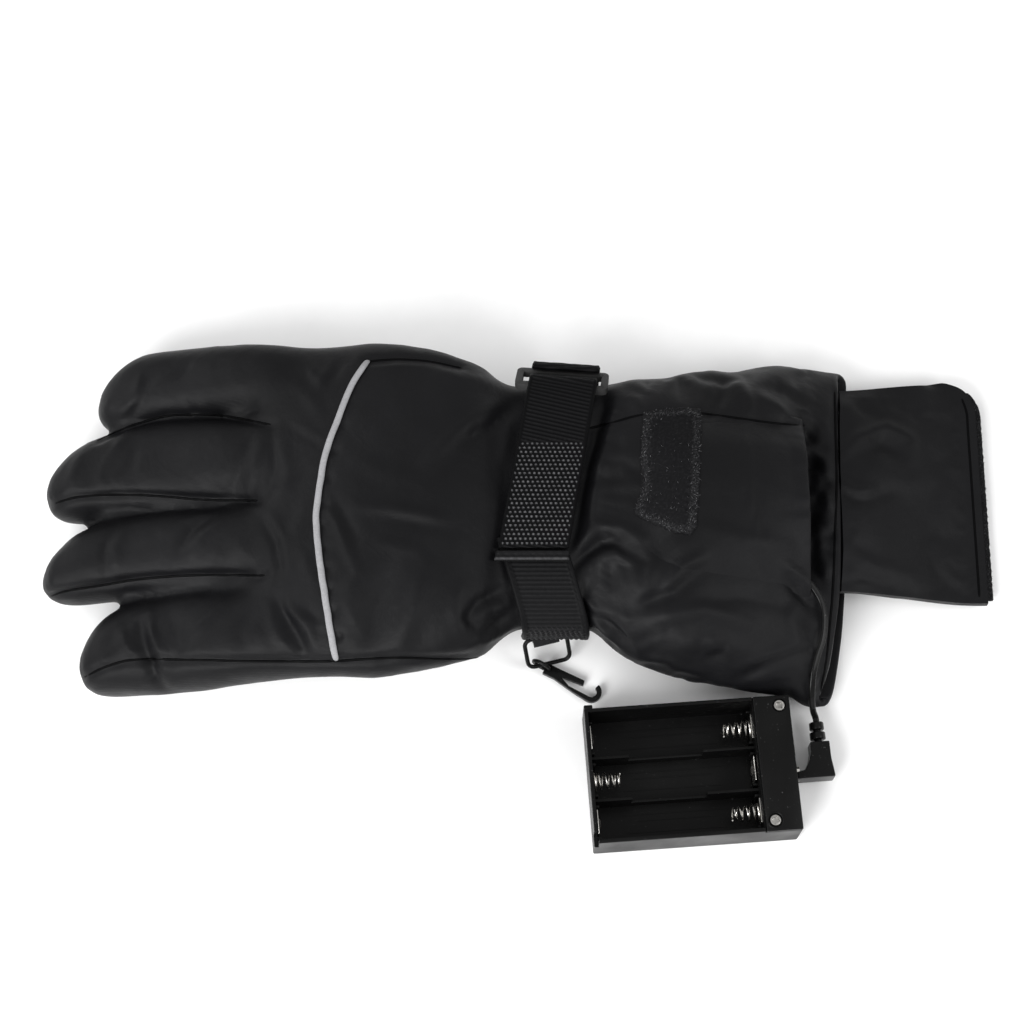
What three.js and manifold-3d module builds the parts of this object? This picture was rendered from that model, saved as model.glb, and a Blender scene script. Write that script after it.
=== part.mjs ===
// A padded riding glove for the right hand, lying on its palm with the back up,
// the fingers towards -X and the thumb tucked under the palm, with the small
// battery case that heats it plugged in beside the cuff.
// Millimetres, +Z up. The table is at z = 0.

import * as THREE from "three";
import { mergeVertices } from "three/addons/utils/BufferGeometryUtils.js";
import Module from "manifold-3d";

const wasm = await Module();
wasm.setup();

// Hand
const handLength = 98; // wrist seam to finger roots
const palmWidth = 122.4;
const palmThickness = 31;
const palmLift = 16.5; // height of the palm over the tucked thumb
const paddedWall = 3.6;
const handSquareness = 2.6; // 2 is an ellipse, more is boxier
const clearance = 0.35; // between pieces that touch
const slimmest = 0.9; // half the width of the narrowest section, at a tip

// Gathers at the wrist
const gatherCount = 17;
const gatherDepth = 1.5;
const gatherReach = 8;
const gatherStart = 24; // where the gathers are deepest, from the wrist seam

// Fingers
const indexLength = 64.5;
const middleLength = 79.5;
const ringLength = 79.5;
const littleLength = 64;
const indexWidth = 33.2;
const middleWidth = 28.8;
const ringWidth = 33.2;
const littleWidth = 28;
const indexLean = 8; // how far a tip leans towards the thumb side
const middleLean = 9.5;
const ringLean = 9.5;
const littleLean = 8;
const fingerHeight = 29;
const fingerGap = 0.6;
const fingerSquareness = 2.35;
const rootRise = 25; // centre height of a finger at its root
const tipRise = 14.6;

// Thumb
const thumbLength = 76;
const thumbWidth = 35;
const thumbHeight = 15.4;
const thumbWall = 3;
const thumbBack = 12; // thumb's root to the wrist seam
const thumbSide = -33; // thumb's centre line
const thumbLean = 5;
const thumbPassage = 20; // opening between thumb and palm

// Gauntlet
const gauntletLength = 100.5;
const gauntletWidth = 122.5;
const gauntletThickness = 41;
const gauntletWall = 3.4;
const mouthBow = 6; // how far the hem curves back at its sides
const mouthUnderlap = 4; // how far the palm side of the hem runs on

// Pocket on the back of the gauntlet
const pocketStart = 22; // from the wrist seam
const pocketLength = 66.5;
const pocketWidth = 68;
const pocketSide = -1; // centre of the pocket
const pocketGap = 6.4;
const pocketWall = 1.9;

// Loop patch on the pocket
const patchStart = 31.5; // from the wrist seam
const patchSide = 9; // centre of the patch
const patchTurn = 6; // degrees
const patchLength = 44;
const patchWidth = 20.5;
const patchThickness = 1.2;
const patchLoft = 0.9; // its stand-off where the panel crowns under it

// Flap of the pocket, and the hook strip at its end
const flapLength = 54;
const flapWidth = 77;
const flapThickness = 3;
const flapSide = 9; // centre of the flap
const flapCorner = 8; // rounding of its far corner
const flapEndRise = 3.4;
const flapDrop = 16.6;
const hookStripLength = 12;
const hookStripThickness = 1.6;
const hookStripProud = 3.4; // how far the strip shows past the flap

// Reflective piping
const pipingWidth = 2.4;
const pipingHeight = 1.2;

// Wrist strap
const strapWidth = 24;
const strapThickness = 1.9;
const strapStandOff = 1;
const strapCentre = -3.2;
const strapSkew = 0.17; // drift along the arm for each step across it
const anchorCentre = -12.6; // the sewn lower band drifts the other way
const anchorSkew = -0.3;
const barAngle = 44; // place of the ring round the wrist, in degrees
const ringBar = 2.4;
const ringReach = 10.6;
const ringSlope = 34; // degrees
const ringTurn = 7; // degrees

// Clip, and the wire ring that it hangs on under the strap
const clipLength = 27;
const clipThickness = 2.8;
const clipEye = 3.7; // outer radius of the eye
const clipEyeWall = 1.3;
const clipEyeWidth = 1.3;
const clipHook = 3.6; // outer radius of the hook
const clipBar = 1.7;
const clipTurn = -28; // degrees
const clipPlace = -3; // where the clip hangs, from the middle of the ring
const wireThickness = 1.5;
const wireRingWidth = 15;
const wireRingDepth = 11.5;
const wireRingX = -2.6;
const wireRingAngle = 208; // place of its holder round the wrist, in degrees
const wireRingTurn = 14; // degrees

// Battery case for three AA cells
const cellDiameter = 14.5;
const caseLength = 70;
const caseHeight = 19;
const caseWall = 1.3;
const coverLength = 12.7; // of the closed end, over the wiring
const dividerWall = 0.9;
const dividerHeight = 6.4;
const dividerHigh = 12; // beside the contacts
const dividerStep = 13;
const notchLength = 4; // cut in the near corner of the far wall
const notchRise = 12;
const lugLength = 3;
const lugProud = 1.2;
const coverThickness = 1.6;
const screwRadius = 2;
const screwShank = 1.1;
const screwHead = 1.1;
const screwInset = 3.6;
const screwDepth = 3.8; // into the post
const screwSlot = 0.6;
const screwPost = 2.9; // outer radius of the post in the case
const bite = 0.1; // how far joined walls run into each other
const contactSize = 8.4;
const contactThickness = 0.5;
const contactBoss = 0.8;
const springWire = 0.7;
const springRadius = 4;
const springTipRadius = 2.6;
const springTurns = 3;
const springLength = 9;
const jackRadius = 3.1;
const jackRise = 6.4;
const jackSide = -1.7;
const caseX = 47;
const caseY = -91;
const caseTurn = 4.1; // degrees that the case lies turned

// Lead and its plug
const leadDiameter = 2.2;
const plugThickness = 8.6;
const plugBevel = 0.8;
const plugRight = 48; // outer side of the plug, from the middle of the case
const plugFoot = 10.4;
const plugNeck = 5;
const plugHeel = 4.2;
const plugReach = 10;
const reliefLength = 7.2;
const barrelRadius = 2.7;
const barrelLength = 9;

// Fineness of the cloth
const handRings = 14;
const handSides = 34;
const gauntletRings = 14;
const gauntletSides = 38;
const hollowRings = 7;
const hollowSides = 20;
const tubeSides = 16; // fingers and thumb
const tubeHollowSides = 10;

const cloth = new THREE.MeshStandardMaterial({ color: 0x1c1d20, roughness: 0.62 });
const webbing = new THREE.MeshStandardMaterial({ color: 0x141414, roughness: 0.8 });
const pile = new THREE.MeshStandardMaterial({ color: 0x101011, roughness: 0.98 });
const piping = new THREE.MeshStandardMaterial({ color: 0xb9babc, roughness: 0.4 });
const plastic = new THREE.MeshStandardMaterial({ color: 0x0d0d0e, roughness: 0.35 });
const ringPlastic = new THREE.MeshStandardMaterial({ color: 0x303134, roughness: 0.4 });
const metal = new THREE.MeshStandardMaterial({ color: 0xc8c6c0, roughness: 0.25, metalness: 1 });
const rubber = new THREE.MeshStandardMaterial({ color: 0x121213, roughness: 0.5 });

const glove = new THREE.Group();

// Small helpers

function solidFrom(geometry) {
  const bare = new THREE.BufferGeometry();
  bare.setAttribute("position", geometry.getAttribute("position"));
  if (geometry.index) bare.setIndex(geometry.index);
  const merged = mergeVertices(bare, 1e-4);
  return new wasm.Manifold(
    new wasm.Mesh({
      numProp: 3,
      vertProperties: new Float32Array(merged.attributes.position.array),
      triVerts: new Uint32Array(merged.index.array),
    }),
  );
}

function geometryFrom(solid) {
  const mesh = solid.getMesh();
  const geometry = new THREE.BufferGeometry();
  geometry.setAttribute("position", new THREE.BufferAttribute(mesh.vertProperties, 3));
  geometry.setIndex(new THREE.BufferAttribute(mesh.triVerts, 1));
  geometry.computeVertexNormals();
  return geometry;
}

function place(name, shape, material, parent = glove) {
  const geometry = shape.isBufferGeometry ? shape : geometryFrom(shape);
  const mesh = new THREE.Mesh(geometry, material);
  mesh.name = name;
  parent.add(mesh);
  return mesh;
}

const mix = (a, b, t) => a + (b - a) * t;

// Value of a column between the rows of a table, with a smooth curve through the rows.
function column(rows, key, name, at) {
  let i = 0;
  while (i < rows.length - 2 && at > rows[i + 1][key]) i += 1;
  const row = (k) => rows[Math.min(Math.max(k, 0), rows.length - 1)];
  const a = row(i);
  const b = row(i + 1);
  const t = Math.min(Math.max((at - a[key]) / (b[key] - a[key]), 0), 1);
  const slope = (k) => {
    const low = row(k - 1);
    const high = row(k + 1);
    return (high[name] - low[name]) / Math.max(high[key] - low[key], 1e-6);
  };
  const span = b[key] - a[key];
  const t2 = t * t;
  const t3 = t2 * t;
  return (
    (2 * t3 - 3 * t2 + 1) * a[name] +
    (t3 - 2 * t2 + t) * span * slope(i) +
    (-2 * t3 + 3 * t2) * b[name] +
    (t3 - t2) * span * slope(i + 1)
  );
}

// A rounded section in the YZ plane. Angle 0 is the little-finger side, 90 degrees the back.
function sectionPoint(section, angle) {
  const power = 2 / section.square;
  const c = Math.cos(angle);
  const s = Math.sin(angle);
  const deep = s > 0 ? section.above : section.below;
  return {
    y: section.side + section.half * Math.sign(c) * Math.abs(c) ** power,
    z: section.rise + deep * Math.sign(s) * Math.abs(s) ** power,
  };
}

// Height of the upper side of a section at a place across it
function topOf(section, y) {
  const aside = Math.min(Math.abs((y - section.side) / section.half), 1);
  return section.rise + section.above * (1 - aside ** section.square) ** (1 / section.square);
}

// A closed solid through rings of equal count, each an array of points.
function loft(rings) {
  const count = rings[0].length;
  const points = rings.flat();
  const faces = [];
  for (let r = 0; r < rings.length - 1; r += 1) {
    for (let k = 0; k < count; k += 1) {
      const next = (k + 1) % count;
      const a = r * count + k;
      const b = r * count + next;
      faces.push(a, a + count, b, b, a + count, b + count);
    }
  }
  const middle = (ring) =>
    ring.reduce((sum, p) => sum.add(p), new THREE.Vector3()).divideScalar(ring.length);
  const first = points.push(middle(rings[0])) - 1;
  const last = points.push(middle(rings[rings.length - 1])) - 1;
  const base = (rings.length - 1) * count;
  for (let k = 0; k < count; k += 1) {
    const next = (k + 1) % count;
    faces.push(first, k, next, last, base + next, base + k);
  }
  return orient(points, faces);
}

// A solid from points and triangles, turned so that its faces point outwards
function orient(points, faces) {
  const geometry = new THREE.BufferGeometry().setFromPoints(points);
  geometry.setIndex(faces);
  const solid = solidFrom(geometry);
  if (solid.volume() > 0) return solid;
  for (let i = 0; i < faces.length; i += 3) [faces[i], faces[i + 1]] = [faces[i + 1], faces[i]];
  geometry.setIndex(faces);
  return solidFrom(geometry);
}

// A closed solid between two surfaces given over u and v from 0 to 1.
function sheet(across, along, lower, upper) {
  const rings = [];
  for (let i = 0; i <= along; i += 1) {
    const u = i / along;
    const ring = [];
    for (let j = 0; j <= across; j += 1) ring.push(upper(u, j / across));
    for (let j = across; j >= 0; j -= 1) ring.push(lower(u, j / across));
    rings.push(ring);
  }
  return loft(rings);
}

function box(x0, x1, y0, y1, z0, z1) {
  const geometry = new THREE.BoxGeometry(x1 - x0, y1 - y0, z1 - z0);
  return solidFrom(geometry.translate((x0 + x1) / 2, (y0 + y1) / 2, (z0 + z1) / 2));
}

// A rod along X, Y or Z from a point.
function rod(radius, length, axis, x, y, z, sides = 16) {
  const geometry = new THREE.CylinderGeometry(radius, radius, length, sides);
  if (axis === "x") geometry.rotateZ(-Math.PI / 2);
  if (axis === "z") geometry.rotateX(Math.PI / 2);
  return solidFrom(geometry.translate(x, y, z));
}

// Folds of the cloth: each row is a soft ridge (or a valley, with a depth below 0)
// over a line across the back. Lengths are shares of palmWidth, depth of palmThickness.
function foldHeight(folds, x, y) {
  let height = 0;
  for (const fold of folds) {
    const turn = THREE.MathUtils.degToRad(fold.turn);
    const dx = x - fold.x * palmWidth;
    const dy = y - fold.y * palmWidth;
    const along = (dx * Math.cos(turn) + dy * Math.sin(turn)) / (fold.reach * palmWidth);
    const beside = (-dx * Math.sin(turn) + dy * Math.cos(turn)) / (fold.spread * palmWidth);
    height += fold.depth * palmThickness * Math.exp(-(along ** 4) - beside ** 2);
  }
  return height;
}

// Sections of the hand from the wrist seam to the finger roots: shares of handLength,
// palmWidth, palmLift and palmThickness.
const handSections = [
  { along: 0.0, side: 0.006, width: 0.722, lift: 0.48, thick: 1.0 },
  { along: 0.13, side: 0.006, width: 0.722, lift: 0.48, thick: 1.0 },
  { along: 0.185, side: -0.006, width: 0.765, lift: 0.54, thick: 1.02 },
  { along: 0.24, side: -0.016, width: 0.842, lift: 0.72, thick: 1.05 },
  { along: 0.33, side: -0.023, width: 0.893, lift: 0.93, thick: 1.05 },
  { along: 0.48, side: -0.02, width: 0.951, lift: 1.0, thick: 1.02 },
  { along: 0.63, side: -0.021, width: 0.99, lift: 1.0, thick: 0.99 },
  { along: 0.83, side: -0.018, width: 1.0, lift: 0.85, thick: 0.97 },
  { along: 1.0, side: -0.009, width: 1.0, lift: 0.64, thick: 0.935 },
];

// Folds on the back of the hand, from the wrist seam
const handFolds = [
  { x: -0.21, y: 0.3, reach: 0.1, turn: 38, spread: 0.035, depth: 0.07 },
  { x: -0.2, y: 0.1, reach: 0.13, turn: 10, spread: 0.045, depth: 0.05 },
  { x: -0.42, y: -0.02, reach: 0.16, turn: -20, spread: 0.04, depth: 0.06 },
  { x: -0.34, y: -0.24, reach: 0.15, turn: -52, spread: 0.05, depth: -0.06 },
  { x: -0.2, y: -0.28, reach: 0.1, turn: 68, spread: 0.035, depth: 0.08 },
  { x: -0.24, y: -0.37, reach: 0.09, turn: 40, spread: 0.03, depth: 0.09 },
  { x: -0.56, y: -0.1, reach: 0.05, turn: -58, spread: 0.018, depth: -0.08 },
];

// Sections of a finger from root to tip: shares of its length, width and height,
// and of its lean and its drop from rootRise to tipRise.
const fingerSections = [
  { along: 0.0, width: 0.97, height: 1.0, lean: 0.0, drop: 0.0 },
  { along: 0.16, width: 0.985, height: 1.0, lean: 0.0, drop: 0.2 },
  { along: 0.32, width: 1.0, height: 1.0, lean: 0.0, drop: 0.45 },
  { along: 0.48, width: 1.0, height: 0.98, lean: 0.02, drop: 0.7 },
  { along: 0.62, width: 0.99, height: 0.96, lean: 0.08, drop: 0.88 },
  { along: 0.75, width: 0.95, height: 0.93, lean: 0.2, drop: 0.97 },
  { along: 0.86, width: 0.82, height: 0.85, lean: 0.48, drop: 1.0 },
  { along: 0.94, width: 0.58, height: 0.66, lean: 0.78, drop: 1.0 },
  { along: 0.985, width: 0.3, height: 0.4, lean: 0.96, drop: 1.0 },
  { along: 1.0, width: 0.1, height: 0.14, lean: 1.0, drop: 1.0 },
];

// Sections of the thumb from root to tip: shares of its length, width, height and lean
const thumbSections = [
  { along: 0.0, width: 0.2, height: 0.3, lean: 0.0 },
  { along: 0.03, width: 0.6, height: 0.7, lean: 0.0 },
  { along: 0.09, width: 0.86, height: 0.94, lean: 0.0 },
  { along: 0.2, width: 1.0, height: 1.0, lean: 0.0 },
  { along: 0.5, width: 0.97, height: 1.0, lean: 0.3 },
  { along: 0.75, width: 0.88, height: 0.97, lean: 0.7 },
  { along: 0.9, width: 0.66, height: 0.86, lean: 0.9 },
  { along: 0.97, width: 0.4, height: 0.6, lean: 1.0 },
  { along: 1.0, width: 0.14, height: 0.24, lean: 1.0 },
];

// Sections of the gauntlet from the wrist seam to the mouth: shares of gauntletLength,
// gauntletWidth and gauntletThickness. Belly is the share of the thickness below the
// widest line, square how boxy the section is.
const gauntletSections = [
  { along: 0.0, side: 0.006, width: 0.722, lift: 0.195, thick: 0.756, belly: 0.5, square: 2.6 },
  { along: 0.12, side: 0.006, width: 0.722, lift: 0.18, thick: 0.77, belly: 0.5, square: 2.6 },
  { along: 0.18, side: -0.008, width: 0.755, lift: 0.12, thick: 0.85, belly: 0.5, square: 2.5 },
  { along: 0.26, side: -0.02, width: 0.812, lift: 0.04, thick: 0.96, belly: 0.48, square: 2.5 },
  { along: 0.35, side: -0.028, width: 0.855, lift: 0.01, thick: 1.0, belly: 0.46, square: 2.5 },
  { along: 0.45, side: -0.032, width: 0.9, lift: 0.0, thick: 0.98, belly: 0.44, square: 2.45 },
  { along: 0.56, side: -0.034, width: 0.935, lift: 0.0, thick: 0.92, belly: 0.42, square: 2.4 },
  { along: 0.68, side: -0.036, width: 0.957, lift: 0.0, thick: 0.84, belly: 0.4, square: 2.3 },
  { along: 0.8, side: -0.042, width: 0.97, lift: 0.0, thick: 0.75, belly: 0.38, square: 2.2 },
  { along: 0.88, side: -0.052, width: 0.985, lift: 0.0, thick: 0.68, belly: 0.31, square: 2.1 },
  { along: 0.94, side: -0.058, width: 0.985, lift: 0.0, thick: 0.63, belly: 0.29, square: 2.05 },
  { along: 1.0, side: -0.06, width: 0.975, lift: 0.0, thick: 0.59, belly: 0.28, square: 2.0 },
];

// Folds on the back of the gauntlet, from the wrist seam
const gauntletFolds = [
  { x: 0.17, y: 0.29, reach: 0.09, turn: -35, spread: 0.035, depth: 0.1 },
  { x: 0.18, y: -0.13, reach: 0.1, turn: -48, spread: 0.03, depth: 0.12 },
  { x: 0.17, y: -0.04, reach: 0.07, turn: 28, spread: 0.022, depth: -0.09 },
  { x: 0.21, y: -0.3, reach: 0.12, turn: -42, spread: 0.04, depth: 0.1 },
  { x: 0.42, y: -0.36, reach: 0.14, turn: 14, spread: 0.03, depth: 0.06 },
  { x: 0.48, y: 0.38, reach: 0.09, turn: -28, spread: 0.03, depth: 0.07 },
  { x: 0.64, y: -0.4, reach: 0.1, turn: 24, spread: 0.03, depth: -0.05 },
];

// Gathers where the wrist is drawn in: small pleats all round, fading along the glove
function gather(distance, angle) {
  const near = Math.exp(-(((distance - gatherStart) / gatherReach) ** 2));
  return near * gatherDepth * Math.cos(gatherCount * angle);
}

function handSection(at) {
  const width = column(handSections, "along", "width", at) * palmWidth;
  const thick = column(handSections, "along", "thick", at) * palmThickness;
  const lift = column(handSections, "along", "lift", at) * palmLift;
  return {
    x: -at * handLength,
    side: column(handSections, "along", "side", at) * palmWidth,
    half: width / 2,
    rise: lift + thick / 2,
    above: thick / 2,
    below: thick / 2,
    square: handSquareness,
  };
}

function gauntletSection(at) {
  const width = column(gauntletSections, "along", "width", at) * gauntletWidth;
  const thick = column(gauntletSections, "along", "thick", at) * gauntletThickness;
  const lift = Math.max(column(gauntletSections, "along", "lift", at) * gauntletThickness, 0);
  const belly = column(gauntletSections, "along", "belly", at);
  return {
    x: at * gauntletLength,
    side: column(gauntletSections, "along", "side", at) * gauntletWidth,
    half: width / 2,
    rise: lift + thick * belly,
    above: thick * (1 - belly),
    below: thick * belly,
    square: column(gauntletSections, "along", "square", at),
  };
}

// The same section drawn in by a wall, or grown by a wall below 0
const shrink = (section, wall) => ({
  ...section,
  half: section.half - wall,
  above: section.above - wall,
  below: section.below - wall,
});

// One ring of points round a section, each moved by a function of its angle and section
function ringOf(section, sides, shape = (point) => point) {
  const ring = [];
  for (let k = 0; k < sides; k += 1) {
    const angle = (2 * Math.PI * k) / sides;
    const at = sectionPoint(section, angle);
    ring.push(shape(new THREE.Vector3(section.x, at.y, at.z), angle, section));
  }
  return ring;
}

const moved = (ring, step) => ring.map((point) => point.clone().setX(point.x + step));

// Hand: back, knuckles and palm in one padded wall
function handCloth(point, angle, section) {
  const pleat = gather(-section.x, angle);
  point.z += Math.max(Math.sin(angle), 0) * foldHeight(handFolds, point.x, point.y);
  point.y += pleat * Math.cos(angle);
  point.z += pleat * Math.sin(angle);
  return point;
}

// The hand's outer form, grown by a clearance where it is cut out of a neighbour
function handForm(grown = 0) {
  const rings = [];
  for (let i = 0; i <= handRings; i += 1) {
    rings.push(ringOf(shrink(handSection(i / handRings), -grown), handSides, handCloth));
  }
  return loft(rings);
}

function handHollow() {
  const rings = [];
  const wall = paddedWall + gatherDepth / 2;
  for (let i = 0; i <= hollowRings; i += 1) {
    rings.push(ringOf(shrink(handSection(i / hollowRings), wall), hollowSides));
  }
  rings.unshift(moved(rings[0], 2));
  rings.push(moved(rings[rings.length - 1], -2));
  return loft(rings);
}

// Fingers side by side from the index to the little finger
const fingers = [
  { name: "finger_index", length: indexLength, width: indexWidth, lean: indexLean },
  { name: "finger_middle", length: middleLength, width: middleWidth, lean: middleLean },
  { name: "finger_ring", length: ringLength, width: ringWidth, lean: ringLean },
  { name: "finger_little", length: littleLength, width: littleWidth, lean: littleLean },
];
const fingerSpan =
  fingers.reduce((sum, finger) => sum + finger.width, 0) + fingerGap * (fingers.length - 1);
let fingerSide = handSection(1).side - fingerSpan / 2;
for (const finger of fingers) {
  finger.side = fingerSide + finger.width / 2;
  fingerSide += finger.width + fingerGap;
}

function fingerSection(finger, at, wall) {
  const wide = (column(fingerSections, "along", "width", at) * finger.width) / 2;
  const deep = (column(fingerSections, "along", "height", at) * fingerHeight) / 2;
  return {
    x: -handLength - clearance - at * (finger.length - wall),
    side: finger.side - column(fingerSections, "along", "lean", at) * finger.lean,
    half: Math.max(wide - wall, slimmest),
    rise: mix(rootRise, tipRise, column(fingerSections, "along", "drop", at)),
    above: Math.max(deep - wall, slimmest),
    below: Math.max(deep - wall, slimmest),
    square: fingerSquareness,
  };
}

function fingerSolid(finger) {
  const stations = [0, 0.16, 0.32, 0.48, 0.62, 0.75, 0.85, 0.92, 0.97, 1];
  const hollowStations = [0, 0.3, 0.58, 0.78, 0.9, 0.97];
  const outer = stations.map((at) => ringOf(fingerSection(finger, at, 0), tubeSides));
  const inner = hollowStations.map((at) =>
    ringOf(fingerSection(finger, at, paddedWall), tubeHollowSides),
  );
  inner.unshift(moved(inner[0], 2));
  return loft(outer).subtract(loft(inner));
}

// Thumb: flat under the palm, cut to the palm where it joins it, with a way up into the hand
function thumbSection(at, wall) {
  const wide = (column(thumbSections, "along", "width", at) * thumbWidth) / 2;
  const deep = (column(thumbSections, "along", "height", at) * thumbHeight) / 2;
  return {
    x: -thumbBack - wall - at * (thumbLength - 2 * wall),
    side: thumbSide + thumbLean * column(thumbSections, "along", "lean", at),
    half: Math.max(wide - wall, slimmest),
    rise: thumbHeight / 2,
    above: Math.max(deep - wall, slimmest),
    below: Math.max(deep - wall, slimmest),
    square: fingerSquareness,
  };
}

function thumbWay() {
  const height = paddedWall + thumbWall + 6;
  return rod(thumbPassage / 2, height, "z", -thumbBack - thumbPassage, thumbSide, palmLift);
}

function thumbSolid() {
  const stations = thumbSections.map((row) => row.along);
  const outer = stations.map((at) => ringOf(thumbSection(at, 0), tubeSides));
  const inner = stations.map((at) => ringOf(thumbSection(at, thumbWall), tubeHollowSides));
  const stall = loft(outer).subtract(loft(inner));
  return stall.subtract(thumbWay()).subtract(handForm(clearance + 0.1));
}

// Gauntlet: the hem's palm side runs on past its back, and both curve away to the sides
function mouthShape(point, section) {
  const weight = THREE.MathUtils.smoothstep(section.x / gauntletLength, 0.8, 1);
  const aside = (point.y - section.side) / section.half;
  const deep = section.rise - point.z;
  const under = THREE.MathUtils.smoothstep(deep, -section.above / 4, section.below / 2);
  point.x += weight * (mouthUnderlap * under - mouthBow * aside ** 2);
  return point;
}

function gauntletCloth(point, angle, section) {
  const pleat = gather(section.x, angle);
  point.z += Math.max(Math.sin(angle), 0) * foldHeight(gauntletFolds, point.x, point.y);
  point.y += pleat * Math.cos(angle);
  point.z = Math.max(point.z + pleat * Math.sin(angle), 0);
  return mouthShape(point, section);
}

function gauntletForm(grown = 0) {
  const rings = [];
  for (let i = 0; i <= gauntletRings; i += 1) {
    const section = shrink(gauntletSection(i / gauntletRings), -grown);
    section.x = mix(clearance - grown, gauntletLength + grown, i / gauntletRings);
    rings.push(ringOf(section, gauntletSides, gauntletCloth));
  }
  return loft(rings);
}

function gauntletHollow() {
  const rings = [];
  for (let i = 0; i <= hollowRings; i += 1) {
    const at = i / hollowRings;
    const wall = gauntletWall + (gatherDepth / 2) * (1 - at);
    const section = shrink(gauntletSection(at), wall);
    rings.push(ringOf(section, hollowSides, (point) => mouthShape(point, section)));
  }
  rings.unshift(moved(rings[0], -2));
  rings.push(moved(rings[rings.length - 1], 2 + mouthUnderlap));
  return loft(rings);
}

const gauntletFold = (x, y) => Math.max(foldHeight(gauntletFolds, x, y), 0);

// Pocket: one panel that stands off the gauntlet's back and opens at the hem side
function pocketPoint(u, v, outer) {
  const x = pocketStart + u * pocketLength;
  const aside = 2 * v - 1;
  const y = pocketSide + (aside * pocketWidth * mix(0.9, 1, u)) / 2;
  const full = THREE.MathUtils.smoothstep(u, -0.05, 0.35) * (1 - aside ** 4);
  const seat = topOf(gauntletSection(x / gauntletLength), y) + gauntletFold(x, y);
  return new THREE.Vector3(x, y, seat + clearance + pocketGap * full + (outer ? pocketWall : 0));
}

function pocketSolid() {
  const panel = sheet(
    12,
    7,
    (u, v) => pocketPoint(u, v, false),
    (u, v) => pocketPoint(u, v, true),
  );
  return panel.subtract(gauntletForm(clearance));
}

// Loop patch: sewn to the pocket panel, a little askew
function patchPoint(u, v, outer) {
  const turn = THREE.MathUtils.degToRad(patchTurn);
  const dx = (u - 0.5) * patchWidth;
  const dy = (v - 0.5) * patchLength;
  const x = patchStart + patchWidth / 2 + dx * Math.cos(turn) + dy * Math.sin(turn);
  const y = patchSide - dx * Math.sin(turn) + dy * Math.cos(turn);
  const share = (x - pocketStart) / pocketLength;
  const aside = (2 * (y - pocketSide)) / (pocketWidth * mix(0.9, 1, share));
  const seat = pocketPoint(share, (aside + 1) / 2, true).z + clearance + patchLoft;
  return new THREE.Vector3(x, y, seat + (outer ? patchThickness : 0));
}

function patchSolid() {
  return sheet(
    8,
    4,
    (u, v) => patchPoint(u, v, false),
    (u, v) => patchPoint(u, v, true),
  );
}

// Flap: folded open past the hem, with a rounded far corner
const flapWaves = [
  { x: 0.24, y: 0.62, spread: 0.13, height: 0.43 },
  { x: 0.5, y: 0.72, spread: 0.12, height: 0.3 },
  { x: 0.12, y: 0.35, spread: 0.14, height: 0.27 },
];

function flapPoint(reach, v, outer) {
  const hemSection = gauntletSection(1);
  const y = flapSide + (v - 0.5) * flapWidth;
  const aside = (y - hemSection.side) / hemSection.half;
  const share = reach / flapLength;
  const hemTop = hemSection.rise + hemSection.above - gauntletWall;
  const fall = flapDrop * THREE.MathUtils.smoothstep(share, -0.1, 0.95);
  const atEnd = THREE.MathUtils.smoothstep(share, 0.75, 1);
  const atHem = 1 - THREE.MathUtils.smoothstep(share, 0, 0.5);
  const curl = flapCorner * Math.max((v - 0.8) / 0.2, 0) ** 2 * atEnd;
  const hem = gauntletLength - mouthBow * aside ** 2 * atHem;
  let wave = 0;
  for (const row of flapWaves) {
    const dx = (share - row.x) / row.spread;
    const dy = (v - row.y) / row.spread;
    wave += row.height * flapThickness * Math.exp(-(dx ** 2) - dy ** 2);
  }
  const rise = Math.max(hemTop - fall, flapEndRise) + (outer ? wave + flapThickness : 0);
  return new THREE.Vector3(hem + reach - curl, y, rise);
}

function flapSolid() {
  const flap = sheet(
    10,
    8,
    (u, v) => flapPoint(clearance + u * (flapLength - clearance), v, false),
    (u, v) => flapPoint(clearance + u * (flapLength - clearance), v, true),
  );
  return flap.subtract(gauntletForm(clearance));
}

// Hook strip: under the flap's end, showing past it
function stripPoint(u, v, outer) {
  const reach = flapLength + hookStripProud - (1 - u) * hookStripLength;
  const point = flapPoint(reach, mix(0.03, 0.97, v), false);
  point.z -= clearance + 0.1 + (outer ? 0 : hookStripThickness);
  return point;
}

const stripSolid = () =>
  sheet(
    10,
    2,
    (u, v) => stripPoint(u, v, false),
    (u, v) => stripPoint(u, v, true),
  );

// Reflective piping over the back of the hand: shares of palmWidth from the wrist seam
const pipingLine = [
  { x: -0.503, y: 0.4 },
  { x: -0.546, y: 0.29 },
  { x: -0.583, y: 0.186 },
  { x: -0.615, y: 0.083 },
  { x: -0.632, y: -0.05 },
  { x: -0.635, y: -0.108 },
  { x: -0.621, y: -0.223 },
  { x: -0.602, y: -0.337 },
  { x: -0.58, y: -0.438 },
];

function handTop(x, y) {
  const section = handSection(Math.min(-x / handLength, 1));
  return topOf(section, y) + Math.max(foldHeight(handFolds, x, y), 0);
}

function pipingPoint(curve, u, v, top) {
  const point = curve.getPointAt(u);
  const tangent = curve.getTangentAt(u);
  const across = new THREE.Vector3(-tangent.y, tangent.x, 0).normalize();
  const crown = 1 - 0.6 * (2 * v - 1) ** 2;
  point.addScaledVector(across, (0.5 - v) * pipingWidth);
  point.z = handTop(point.x, point.y) + clearance + 0.15 + top * pipingHeight * crown;
  return point;
}

function pipingSolid() {
  const rows = pipingLine.map((row) => new THREE.Vector3(row.x * palmWidth, row.y * palmWidth, 0));
  const curve = new THREE.CatmullRomCurve3(rows);
  return sheet(
    2,
    18,
    (u, v) => pipingPoint(curve, u, v, 0),
    (u, v) => pipingPoint(curve, u, v, 1),
  );
}

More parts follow.
